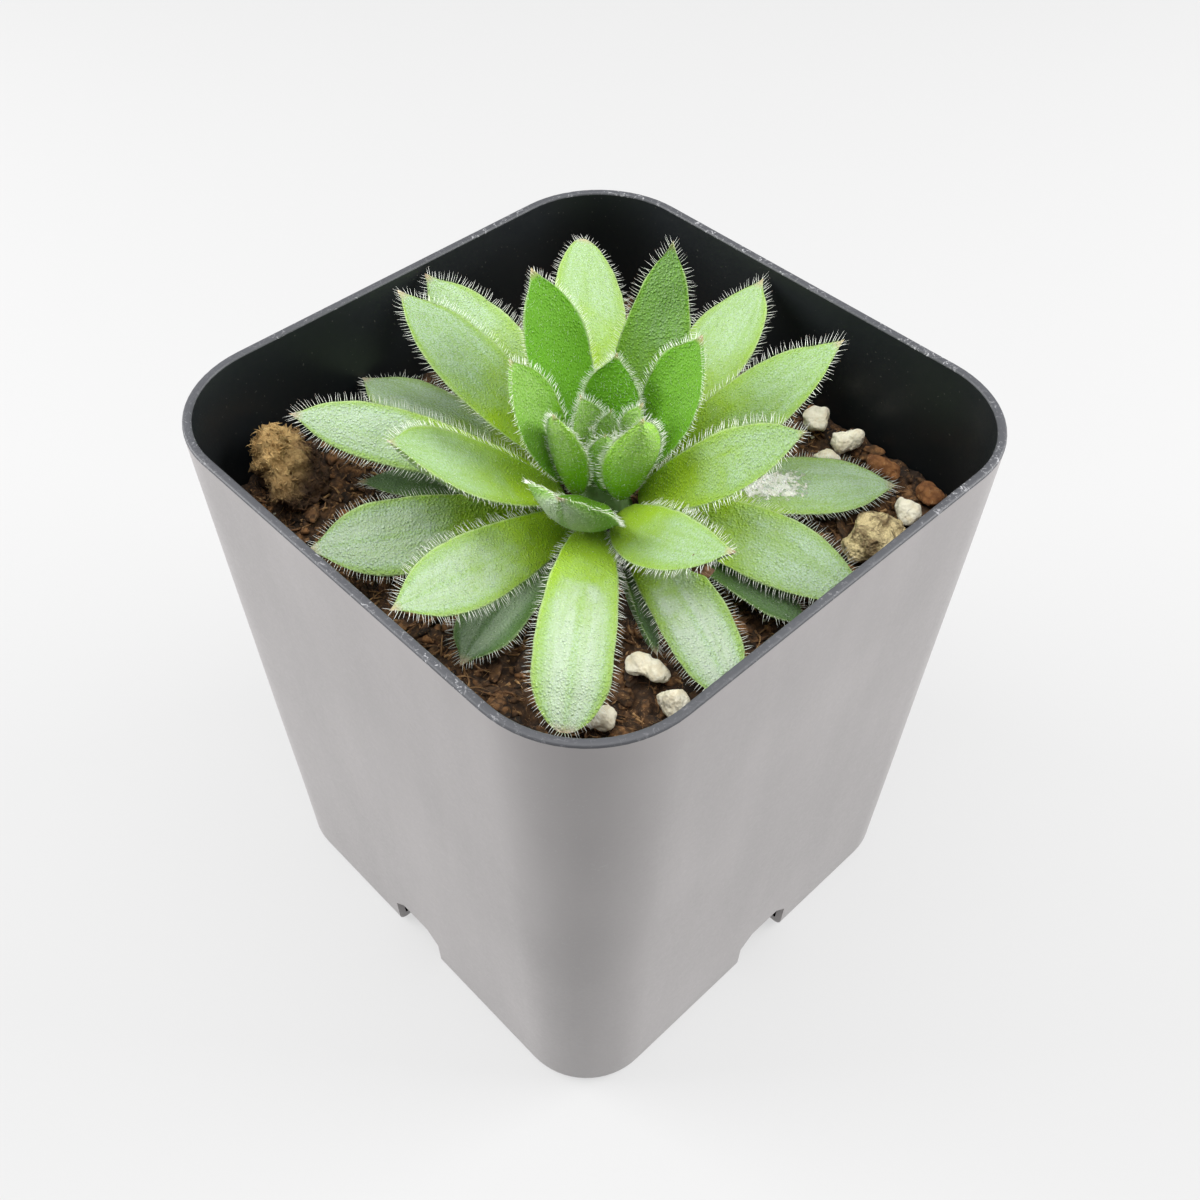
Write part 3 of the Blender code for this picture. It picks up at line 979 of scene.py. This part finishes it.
class SUCCULENT_OT_grains(bpy.types.Operator):
    """Make the perlite, the bark chips, the rough stone and the peat clod"""
    bl_idname = "succulent.grains"
    bl_label = "Loose Pieces"

    def execute(self, context):
        settings = context.scene.succulent_soil
        perlite = mineral_material("perlite", settings.perlite_colour, (0.72, 0.58, 0.32), 0.45,
                                   0.10 * MM)
        stone = mineral_material("rough_stone", settings.stone_colour, (0.20, 0.13, 0.06), 0.9,
                                 0.35 * MM)
        bark = peat_material("bark", (0.17, 0.06, 0.018), (0.50, 0.23, 0.075),
                             (0.50, 0.28, 0.12), 0.25 * MM)
        clod = self.clod_material()
        kinds = {
            "perlite": (perlite, "perlite", ((2.2, 0.8), (0.8, 0.28), (0.3, 0.07))),
            "bark_chip": (bark, "bark", ((1.8, 0.45), (0.6, 0.15))),
            "pebble": (stone, "pebble", ((3.0, 1.3), (1.1, 0.55), (0.4, 0.16))),
            "peat_clod": (clod, "peat", ((3.0, 1.2), (1.2, 0.9), (0.5, 0.5))),
        }
        for node in sorted(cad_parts):
            kind = node.rstrip("0123456789_")
            if kind not in kinds:
                continue
            material, slot, layers = kinds[kind]
            grain = copy_of_node(node, node + "_rough")
            subdivide_surface(grain, 3)
            if node in WAISTED_GRAINS:
                self.pinch(grain, WAISTED_GRAINS[node])
            if kind == "peat_clod":
                self.slump(grain)
            rough_up(grain, layers)
            set_attribute(grain.data, "tone", 0.5)
            finish_piece(grain, material, slot, node)
            if kind == "peat_clod":
                self.curl_clod(grain)
        return {"FINISHED"}

    @staticmethod
    def pinch(grain, depth):
        """Draw a grain in round the middle of its long axis."""
        points = points_of(grain.data)
        middle = points.mean(axis=0)
        long_way = np.linalg.svd(points - middle, full_matrices=False)[2][0]
        run = (points - middle) @ long_way
        kept = middle + np.outer(run, long_way)
        squeeze = 1 - depth * np.exp(-(run / (0.38 * run.max())) ** 2)
        set_points(grain.data, kept + (points - kept) * squeeze[:, None])

    @staticmethod
    def slump(clod):
        """Let the clod slope down to one side, as if it had slid."""
        points = points_of(clod.data)
        run = (points - points.mean(axis=0)) @ np.array((0.69, 0.72, 0.0)) + 1.5 * MM
        rise = np.maximum(points[:, 2] - SOIL_HIGH.z, 0.0)
        points[:, 2] -= rise * np.clip(run / (6.0 * MM), 0.0, 0.85)
        set_points(clod.data, points)

    @staticmethod
    def clod_material():
        """Dry ochre curls on top of darker peat."""
        material, tree, shader = new_material("peat_clod")
        place = object_place(tree)
        low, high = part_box("peat_clod")
        rise = fade(tree, height_of(tree, place), low.z + 1.2 * MM, high.z - 2.5 * MM, -0.1, 1.0)
        dryness = calc(tree, "ADD", rise, scaled(tree, clouds(tree, place, 260), 1.0, -0.5),
                       clamp=True)
        dark = blend(tree, dryness, shade((0.05, 0.025, 0.011)), shade((0.52, 0.31, 0.11)))
        light = blend(tree, dryness, shade((0.18, 0.09, 0.035)), shade((0.98, 0.70, 0.30)))
        finish = put(tree, "Group", {
            "Place": place, "Tone": attribute(tree, "tone"), "Dark Color": dark,
            "Light Color": light, "Thread Color": light}, node_tree=peat_group())
        link_finish(tree, shader, *finish.outputs, 0.3 * MM)
        return material

    @staticmethod
    def curl_clod(clod):
        """Short curled flakes standing off the clod."""
        dice = random.Random(12)
        points, normals = points_of(clod.data), points_of(clod.data, "normal")
        shown = np.flatnonzero(points[:, 2] > SOIL_HIGH.z + 1.2 * MM)
        chosen = [int(shown[dice.randrange(len(shown))]) for _ in range(1500)]
        scatter = np.array([[dice.gauss(0, 1) for _ in range(3)] for _ in chosen])
        aims = unit(normals[chosen] * 0.30 + scatter * 0.8)
        bends = unit(np.cross(aims, scatter[::-1])) * 0.6 - normals[chosen] * 0.3
        spans = ((0.4 * MM, 1.1 * MM), (0.08 * MM, 0.20 * MM), (0.2, 1.0))
        lengths, radii, tones = ([dice.uniform(*span) for _ in chosen] for span in spans)
        curls = strands("clod_curls", strand_shape(4, 4),
                        points[chosen] - normals[chosen] * 0.1 * MM, aims, bends, lengths, radii,
                        tones)
        finish_piece(curls, clod.data.materials[0], "peat")


class SUCCULENT_OT_stem(bpy.types.Operator):
    """Make the short stem and its root"""
    bl_idname = "succulent.stem"
    bl_label = "Stem"

    def execute(self, context):
        stem = copy_of_node("stem_and_root", "stem_and_root_fine")
        subdivide_surface(stem, 2)
        rough_up(stem, ((1.2, 0.12), (0.4, 0.05)))
        material, tree, shader = new_material("stem")
        place = object_place(tree)
        living = fade(tree, height_of(tree, place), SOIL_HIGH.z - 0.5 * MM, SOIL_HIGH.z + 1.2 * MM)
        tint = blend(tree, living, shade((0.30, 0.19, 0.09)), shade((0.05, 0.12, 0.012)))
        streaks = clouds(tree, place, 1500, 3.0)
        tint = blend(tree, fade(tree, streaks, 0.5, 0.7, 0.0, 0.5), tint, shade((0.04, 0.07, 0.01)))
        link_finish(tree, shader, tint, fade(tree, streaks, 0.3, 0.7, 0.5, 0.75), streaks, 0.1 * MM)
        finish_piece(stem, material, "stem", "stem_and_root")
        return {"FINISHED"}


# ---------------------------------------------------------------- leaves

# How much more or less bloom some leaves have than their whorl; on inner_leaf_2 the extra bloom is
# painted light on its shaded underside, and on spread_leaf_5, outer_leaf_5 and outer_leaf_6 the
# smaller bloom is painted shade on leaves that stand in more light
LEAF_BLOOM_AND_PAINTED_LIGHT = {"inner_leaf_3": 0.3, "inner_leaf_4": 0.15, "heart_leaf_3": 0.05,
              "middle_leaf_6": 0.5, "inner_leaf_2": 2.0, "middle_leaf_1": 1.3,
              "spread_leaf_5": 0.62, "outer_leaf_5": 0.66, "outer_leaf_6": 0.8,
              "spread_leaf_3": 0.68, "outer_leaf_2": 0.75}
# Painted highlight in silver bands (on inner_leaf_2 also painted light on its shaded underside),
# white scuffing and fresh green, which only some leaves have
LEAF_MARKS = {
    "silver": {"spread_leaf_3": 0.8, "spread_leaf_4": 1.0, "spread_leaf_2": 0.5,
               "outer_leaf_2": 0.4, "outer_leaf_1": 0.3, "low_leaf_2": 0.35, "inner_leaf_2": 0.9},
    "scuff": {"outer_leaf_4": 1.0},
    "vivid": {"inner_leaf_3": 0.7, "inner_leaf_4": 0.9, "heart_leaf_3": 1.0,
              "middle_leaf_6": 0.6},
}
BLUNT_LEAVES = {"spread_leaf_5", "spread_leaf_3"}
BLUNT_WIDENING = 1.6        # how much a blunt leaf widens where another narrows
LONG_LEAF = 15 * MM         # longer leaves get one subdivision more


def leaf_names(whorl):
    return [name for name in sorted(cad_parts) if name.startswith(whorl + "_leaf_")]


def leaf_cage(name):
    """The cross-sections of a leaf's node, from a copy that is then taken away."""
    weld = copy_of_node(name, "weld", quads=False)
    cage = LeafCage(weld.data)
    bpy.data.objects.remove(weld, do_unlink=True)
    return cage


class LeafCage:
    """The few cross-sections of a leaf's node, read from its welded triangles."""

    def __init__(self, mesh):
        self.points = points_of(mesh)
        root = np.array((PLANT_AXIS.x, PLANT_AXIS.y, SOIL_HIGH.z + 4 * MM))
        self.tip = int(np.argmax(np.linalg.norm(self.points - root, axis=1)))
        links = {i: set() for i in range(len(self.points))}
        for edge in mesh.edges:
            a, b = edge.vertices
            links[a].add(b)
            links[b].add(a)
        self.rings = self.walk(self.tip, links)
        self.ring_of = {vertex: k for k, ring in enumerate(self.rings) for vertex in ring}
        self.find_margins()

    @staticmethod
    def walk(tip, links):
        """Rings of vertices from the root to the tip, found by stepping out from the tip."""
        seen, ring, rings = {tip}, [tip], []
        while ring:
            rings.append(ring)
            ring = sorted({n for v in ring for n in links[v]} - seen)
            seen.update(ring)
        return rings[::-1]

    def find_margins(self):
        """Left and right margin, upward direction and share of the length at each ring."""
        margins = []
        across = np.zeros(3)
        for ring in self.rings[:-1]:
            corners = self.points[ring]
            gaps = np.linalg.norm(corners[:, None] - corners[None], axis=2)
            a, b = np.unravel_index(np.argmax(gaps), gaps.shape)
            if (corners[b] - corners[a]) @ across < 0:
                a, b = b, a
            across = corners[b] - corners[a]
            margins.append((ring[a], ring[b]))
        margins.append((self.tip, self.tip))
        self.margins = {vertex for pair in margins for vertex in pair}
        self.left, self.right = (self.points[list(side)] for side in zip(*margins))
        self.middle = (self.left + self.right) / 2
        steps = np.linalg.norm(np.diff(self.middle, axis=0), axis=1)
        self.length = steps.sum()
        self.along = np.concatenate(([0.0], np.cumsum(steps))) / self.length
        ahead = unit(np.gradient(self.middle, axis=0))
        chord = unit(self.right - self.left)
        chord[-1] = chord[-2]
        up = unit(np.cross(ahead, chord))
        widest = len(self.rings) // 2
        below = (self.points[self.rings[widest]] - self.middle[widest]) @ up[widest]
        if below.mean() > 0:
            up = -up
            self.left, self.right = self.right, self.left
            chord = -chord
        self.ahead, self.up, self.chord = ahead, up, chord
        self.reach = np.linalg.norm(self.right - self.left, axis=1) / 2

    def label(self, mesh):
        """Write along and across to the mesh, and return which vertices are on top."""
        along, across = np.ones(len(self.points)), np.zeros(len(self.points))
        on_top = np.zeros(len(self.points), bool)
        for k, ring in enumerate(self.rings[:-1]):
            off_middle = self.points[ring] - self.middle[k]
            along[ring] = self.along[k]
            across[ring] = off_middle @ self.chord[k] / self.reach[k]
            rise = off_middle @ self.up[k]
            inner = np.abs(across[ring]) < 0.9
            on_top[np.array(ring)[inner & (rise > rise[inner].mean())]] = True
        set_attribute(mesh, "along", along)
        set_attribute(mesh, "across", across)
        return across, on_top


class SUCCULENT_OT_leaves(bpy.types.Operator):
    """Make every leaf: plump, with soft margins and a gently uneven skin"""
    bl_idname = "succulent.leaves"
    bl_label = "Leaves"

    def execute(self, context):
        settings = context.scene.succulent_leaves
        dice = random.Random(7)
        for whorl in WHORLS:
            look = getattr(settings, whorl)
            material = leaf_material(whorl, look)
            for name in leaf_names(whorl):
                leaf = self.make_leaf(name, settings, dice.random())
                # the bloom share, which carries painted light on inner_leaf_2 and painted shade on
                # the high outer leaves
                set_attribute(leaf.data, "frost", look.frost * LEAF_BLOOM_AND_PAINTED_LIGHT.get(name, 1.0))
                for mark, leaves in LEAF_MARKS.items():
                    set_attribute(leaf.data, mark, leaves.get(name, 0.0))
                finish_piece(leaf, material, SLOT_OF_WHORL[whorl], name)
        return {"FINISHED"}

    @staticmethod
    def make_leaf(name, settings, tone):
        leaf = copy_of_node(name, name + "_skin", quads=False)
        mesh = leaf.data
        cage = LeafCage(mesh)
        join_triangles(leaf, lambda face: cage.tip not in face.vertices)
        across, on_top = cage.label(mesh)
        points = cage.points.copy()
        for vertex, k in cage.ring_of.items():
            if on_top[vertex]:
                lift = settings.plump * cage.reach[k] * (1 - across[vertex] ** 2)
                points[vertex] += cage.up[k] * lift
        crease = mesh.attributes.new("crease_edge", "FLOAT", "EDGE")
        for edge in mesh.edges:
            a, b = edge.vertices
            if {a, b} <= cage.margins and cage.ring_of[a] != cage.ring_of[b]:
                crease.data[edge.index].value = settings.margin_crease
        blunt = name in BLUNT_LEAVES
        for k, narrowing in ((-3, 0.08), (-2, 0.28)):      # the last rings before the tip
            narrowing *= -BLUNT_WIDENING if blunt else 1
            ring = cage.rings[k]
            points[ring] -= np.outer(across[ring] * cage.reach[k] * narrowing, cage.chord[k])
        if not blunt:
            points[cage.tip] += cage.ahead[-1] * settings.tip_reach
            mesh.attributes.new("crease_vert", "FLOAT", "POINT").data[cage.tip].value = 1.0
        set_points(mesh, points)
        subdivide_surface(leaf, 3 if cage.length > LONG_LEAF else 2)
        rough_up(leaf, ((3.5, 0.16), (1.3, 0.05), (0.5, 0.02)))
        set_attribute(leaf.data, "tone", tone)
        return leaf


class SUCCULENT_OT_hairs(bpy.types.Operator):
    """Fringe every leaf with white hairs and cover its skin with shorter ones"""
    bl_idname = "succulent.hairs"
    bl_label = "Hairs"
    BARE_ROOT = 0.12        # share of the length without a fringe
    NEAR_TIP = 0.86         # share of the length from which the fringe turns to the tip
    # whorl: length of the fringe, its spacing, length of the down, down to a square millimetre
    COVER = {
        "low": (0.80, 1.0, 1.0, 0.8), "spread": (0.72, 1.1, 0.9, 1.0),
        "outer": (0.9, 1.0, 0.9, 1.0), "middle": (0.88, 1.0, 1.0, 1.3),
        "inner": (0.66, 0.8, 1.1, 2.2), "heart": (0.66, 0.45, 1.6, 7.0),
        "crown": (0.66, 0.4, 1.8, 9.0), "bud": (0.60, 0.45, 1.6, 10.0),
    }

    def execute(self, context):
        settings = context.scene.succulent_hairs
        material = hair_material(settings)
        long_hair = strand_shape(4, 4)
        short_hair = strand_shape(3, 2)
        dice = random.Random(23)
        for whorl in WHORLS:
            for name in leaf_names(whorl):
                skin = bpy.data.objects[name + "_skin"].data
                given = (leaf_cage(name), settings, self.COVER[whorl], dice)
                fringe = self.fringe(name, skin, long_hair, *given)
                down = self.down(name, skin, short_hair, *given)
                finish_piece(join(fringe, down), material, SLOT_OF_WHORL[whorl])
        return {"FINISHED"}

    @classmethod
    def fringe(cls, name, skin, shape, cage, settings, cover, dice):
        """Hairs along both margins, leaning a little towards the tip."""
        tree = BVHTree.FromPolygons([vertex.co for vertex in skin.vertices],
                                    [tuple(face.vertices) for face in skin.polygons])
        rows = []
        for margin, way in ((cage.left, -1.0), (cage.right, 1.0)):
            steps = np.linalg.norm(np.diff(margin, axis=0), axis=1)
            run = np.concatenate(([0.0], np.cumsum(steps)))
            count = int(run[-1] / (settings.spacing * cover[1]))
            for k in range(count):
                at = (k + dice.uniform(0.25, 0.75)) / count * run[-1]
                share_along = np.interp(at, run, cage.along)
                if share_along < cls.BARE_ROOT:
                    continue
                spot, out, up, ahead = (
                    np.array([np.interp(at, run, table[:, i]) for i in range(3)])
                    for table in (margin, cage.chord * way, cage.up, cage.ahead))
                near_tip = max(0.0, (share_along - cls.NEAR_TIP) / (1 - cls.NEAR_TIP))
                aim = (out * (1 - 0.45 * near_tip) + ahead * (0.28 + 0.9 * near_tip)
                       + up * dice.gauss(0.10, 0.20) + ahead * dice.gauss(0, 0.09))
                on_skin = np.array(tree.find_nearest(Vector(spot))[0])
                long = settings.fringe * cover[0] * dice.uniform(0.72, 1.08)
                rows.append((on_skin - out * 0.06 * MM + up * dice.gauss(0, 0.10) * MM, aim,
                             ahead * dice.uniform(-0.05, 0.22) + up * dice.uniform(-0.16, 0.20),
                             long * min(1.0, 0.45 + share_along * 1.6),
                             settings.radius * dice.uniform(0.75, 1.15), dice.random()))
        return strands(name + "_hairs", shape, *zip(*rows))

    @staticmethod
    def down(name, skin, shape, cage, settings, cover, dice):
        """Short hairs all over the leaf, leaning towards its tip."""
        faces = skin.polygons
        areas = np.array([face.area for face in faces])
        total = int(areas.sum() / MM ** 2 * cover[3])
        edges = np.cumsum(areas)
        picks = np.searchsorted(edges, [dice.random() * edges[-1] for _ in range(max(total, 8))])
        centres, normals = (np.array([getattr(faces[int(i)], key) for i in picks])
                            for key in ("center", "normal"))
        lean = np.array([cage.ahead[np.argmin(np.linalg.norm(cage.middle - c, axis=1))]
                         for c in centres])
        jitter = np.array([[dice.gauss(0, 0.35) for _ in range(3)] for _ in picks])
        aims = unit(normals + lean * 0.7 + jitter)
        lengths = [settings.down * cover[2] * dice.uniform(0.6, 1.2) for _ in picks]
        radii = [settings.radius * 0.40 * dice.uniform(0.8, 1.2) for _ in picks]
        return strands(name + "_down", shape, centres - normals * 0.02 * MM, aims,
                       lean * 0.3 + jitter * 0.2, lengths, radii, np.zeros(len(picks)))


class SUCCULENT_OT_scrap(bpy.types.Operator):
    """Make the dried scrap that hangs under one leaf's tip"""
    bl_idname = "succulent.scrap"
    bl_label = "Dried Scrap"
    LEAF = "middle_leaf_3"

    def execute(self, context):
        cage = leaf_cage(self.LEAF)
        left, right, middle, up, ahead = (
            table[-4] for table in (cage.left, cage.right, cage.middle, cage.up, cage.ahead))
        low_margin = left if left[2] < right[2] else right
        scrap = primitive("grid", "dried_scrap", (2.6 * MM, 1.2 * MM, 1.0), x_subdivisions=16,
                          y_subdivisions=10, size=1.0)
        points = points_of(scrap.data)
        for point in points:
            here = Vector((point[0], point[1], 0)) * 700
            point[2] = 0.6 * MM * noise.noise(here) + 0.3 * MM * noise.noise(here * 2.7)
            point[1] *= 1 + 0.5 * noise.noise(here * 0.8 + Vector((4, 0, 0)))
        set_points(scrap.data, points)
        scrap.rotation_euler = (0.4, 0.3, math.atan2(ahead[1], ahead[0]) + 0.2)
        scrap.location = Vector(low_margin * 0.6 + middle * 0.4) - Vector(up) * 1.1 * MM
        settle_place(scrap)
        add_modifier(scrap, "SOLIDIFY", thickness=0.12 * MM, offset=0.0)
        set_attribute(scrap.data, "tone", 0.7)
        finish_piece(scrap, peat_material("dried_leaf", (0.09, 0.04, 0.018), (0.30, 0.17, 0.08),
                                          (0.50, 0.36, 0.20), 0.1 * MM), "bark")
        return {"FINISHED"}


# ---------------------------------------------------------------- stage

class SUCCULENT_OT_stage(bpy.types.Operator):
    """Set the pale floor, the soft lights and the camera"""
    bl_idname = "succulent.stage"
    bl_label = "Stage"

    def execute(self, context):
        settings = context.scene.succulent_stage
        self.floor(settings)
        world = bpy.data.worlds.new("studio")
        world.use_nodes = True
        backdrop = world.node_tree.nodes["Background"]
        backdrop.inputs["Color"].default_value = (1.0, 1.0, 1.0, 1.0)
        seen = put(world.node_tree, "LightPath").outputs["Is Camera Ray"]
        world.node_tree.links.new(fade(world.node_tree, seen, 0.0, 1.0, settings.sky, 0.95),
                                  backdrop.inputs["Strength"])
        context.scene.world = world
        context.scene.view_settings.view_transform = "Standard"
        for side, size, place in (("left", 0.34, (-0.38, -0.29, 0.30)),
                                  ("right", 0.34, (0.29, 0.39, 0.30)),
                                  ("top", 0.50, (0.06, -0.06, 0.62))):
            self.light(side + "_light", getattr(settings, side), size, place)
        self.camera(context, settings)
        return {"FINISHED"}

    @staticmethod
    def floor(settings):
        floor = primitive("plane", "floor", size=6.0)
        material, tree, shader = new_material("floor")
        tint = blend(tree, clouds(tree, object_place(tree), 3.0), shade(settings.floor_colour),
                     shade([value * 0.99 for value in settings.floor_colour]))
        tree.links.new(tint, shader.inputs["Base Color"])
        shader.inputs["Roughness"].default_value = 0.9
        shader.inputs["Emission Color"].default_value = (1.0, 1.0, 1.0, 1.0)
        shader.inputs["Emission Strength"].default_value = settings.floor_glow
        floor.data.materials.append(material)

    @staticmethod
    def light(name, power, size, place):
        """A square soft light that looks at the plant."""
        lamp = bpy.data.lights.new(name, "AREA")
        lamp.energy = power
        lamp.size = size
        obj = bpy.data.objects.new(name, lamp)
        obj.location = place
        aim = Vector((0, 0, SOIL_HIGH.z)) - Vector(place)
        obj.rotation_euler = aim.to_track_quat("-Z", "Y").to_euler()
        bpy.context.scene.collection.objects.link(obj)

    @staticmethod
    def camera(context, settings):
        lens = bpy.data.cameras.new("camera")
        lens.lens = settings.lens
        lens.sensor_width = 36.0
        lens.clip_start = 0.01
        obj = bpy.data.objects.new("camera", lens)
        flat = math.cos(settings.elevation)
        back = Vector((math.sin(settings.azimuth) * flat, -math.cos(settings.azimuth) * flat,
                       math.sin(settings.elevation)))
        target = Vector((0, 0, settings.circled_height))
        obj.location = target + back * settings.distance
        aim = (-back).to_track_quat("-Z", "Y").to_matrix()
        pan, tilt, roll = (math.radians(angle) for angle in (-0.29, 1.90, 0.33))
        nudge = (Matrix.Rotation(pan, 3, "Y") @ Matrix.Rotation(tilt, 3, "X")
                 @ Matrix.Rotation(roll, 3, "Z"))
        obj.rotation_euler = (aim @ nudge).to_euler()
        context.scene.collection.objects.link(obj)
        context.scene.camera = obj


# ---------------------------------------------------------------- panel and registration

OPERATORS = (SUCCULENT_OT_pot, SUCCULENT_OT_soil, SUCCULENT_OT_litter, SUCCULENT_OT_grains,
             SUCCULENT_OT_stem, SUCCULENT_OT_leaves, SUCCULENT_OT_hairs, SUCCULENT_OT_scrap,
             SUCCULENT_OT_stage)


class SUCCULENT_PT_panel(bpy.types.Panel):
    """Buttons that make the succulent's pieces, and their settings"""
    bl_label = "Succulent"
    bl_idname = "SUCCULENT_PT_panel"
    bl_space_type = "VIEW_3D"
    bl_region_type = "UI"
    bl_category = "Succulent"

    def draw(self, context):
        for operator in OPERATORS:
            self.layout.operator(operator.bl_idname)
        for name in SETTINGS:
            group = getattr(context.scene, name)
            box = self.layout.box()
            box.label(text=group.__doc__ or name)
            for key in group.bl_rna.properties.keys():
                if key not in {"rna_type", "name"}:
                    box.prop(group, key)


SETTINGS = {
    "succulent_pot": PotSettings, "succulent_leaves": LeafSettings,
    "succulent_hairs": HairSettings, "succulent_soil": SoilSettings,
    "succulent_stage": StageSettings,
}
CLASSES = (PotSettings, LeafLook, LeafSettings, HairSettings, SoilSettings, StageSettings,
           *OPERATORS, SUCCULENT_PT_panel)


def register():
    for made in CLASSES:
        bpy.utils.register_class(made)
    for name, kind in SETTINGS.items():
        setattr(bpy.types.Scene, name, PointerProperty(type=kind))


def unregister():
    for name in SETTINGS:
        delattr(bpy.types.Scene, name)
    for made in reversed(CLASSES):
        bpy.utils.unregister_class(made)


# Colours of the whorls that differ from the ordinary leaf: root, blade, frost, bloom
WHORL_LOOKS = {
    "low": ((0.10, 0.22, 0.02), (0.08, 0.18, 0.04), (0.26, 0.36, 0.22), 0.40),
    "spread": ((0.31, 0.51, 0.006), (0.28, 0.47, 0.09), (0.50, 0.66, 0.46), 1.0),
    "outer": ((0.31, 0.51, 0.006), (0.28, 0.47, 0.09), (0.49, 0.65, 0.45), 1.0),
    "middle": ((0.26, 0.43, 0.004), (0.22, 0.39, 0.04), (0.39, 0.54, 0.35), 0.76),
    "inner": ((0.15, 0.38, 0.003), (0.16, 0.38, 0.006), (0.36, 0.54, 0.22), 0.45),
    "heart": ((0.25, 0.54, 0.004), (0.27, 0.56, 0.012), (0.55, 0.72, 0.36), 0.50),
    "crown": ((0.22, 0.50, 0.005), (0.23, 0.50, 0.012), (0.50, 0.66, 0.34), 0.50),
    "bud": ((0.22, 0.50, 0.005), (0.23, 0.50, 0.012), (0.50, 0.66, 0.34), 0.50),
}


def set_whorl_looks(settings):
    for whorl, (root, blade, frost, bloom) in WHORL_LOOKS.items():
        look = getattr(settings, whorl)
        look.root_colour, look.blade_colour, look.frost_colour = root, blade, frost
        look.frost = bloom


def main():
    register()
    set_whorl_looks(bpy.context.scene.succulent_leaves)
    bpy.ops.succulent.pot()
    bpy.ops.succulent.soil()
    bpy.ops.succulent.litter()
    bpy.ops.succulent.grains()
    bpy.ops.succulent.stem()
    bpy.ops.succulent.leaves()
    bpy.ops.succulent.hairs()
    bpy.ops.succulent.scrap()
    bpy.ops.succulent.stage()


if __name__ == "__main__":
    main()
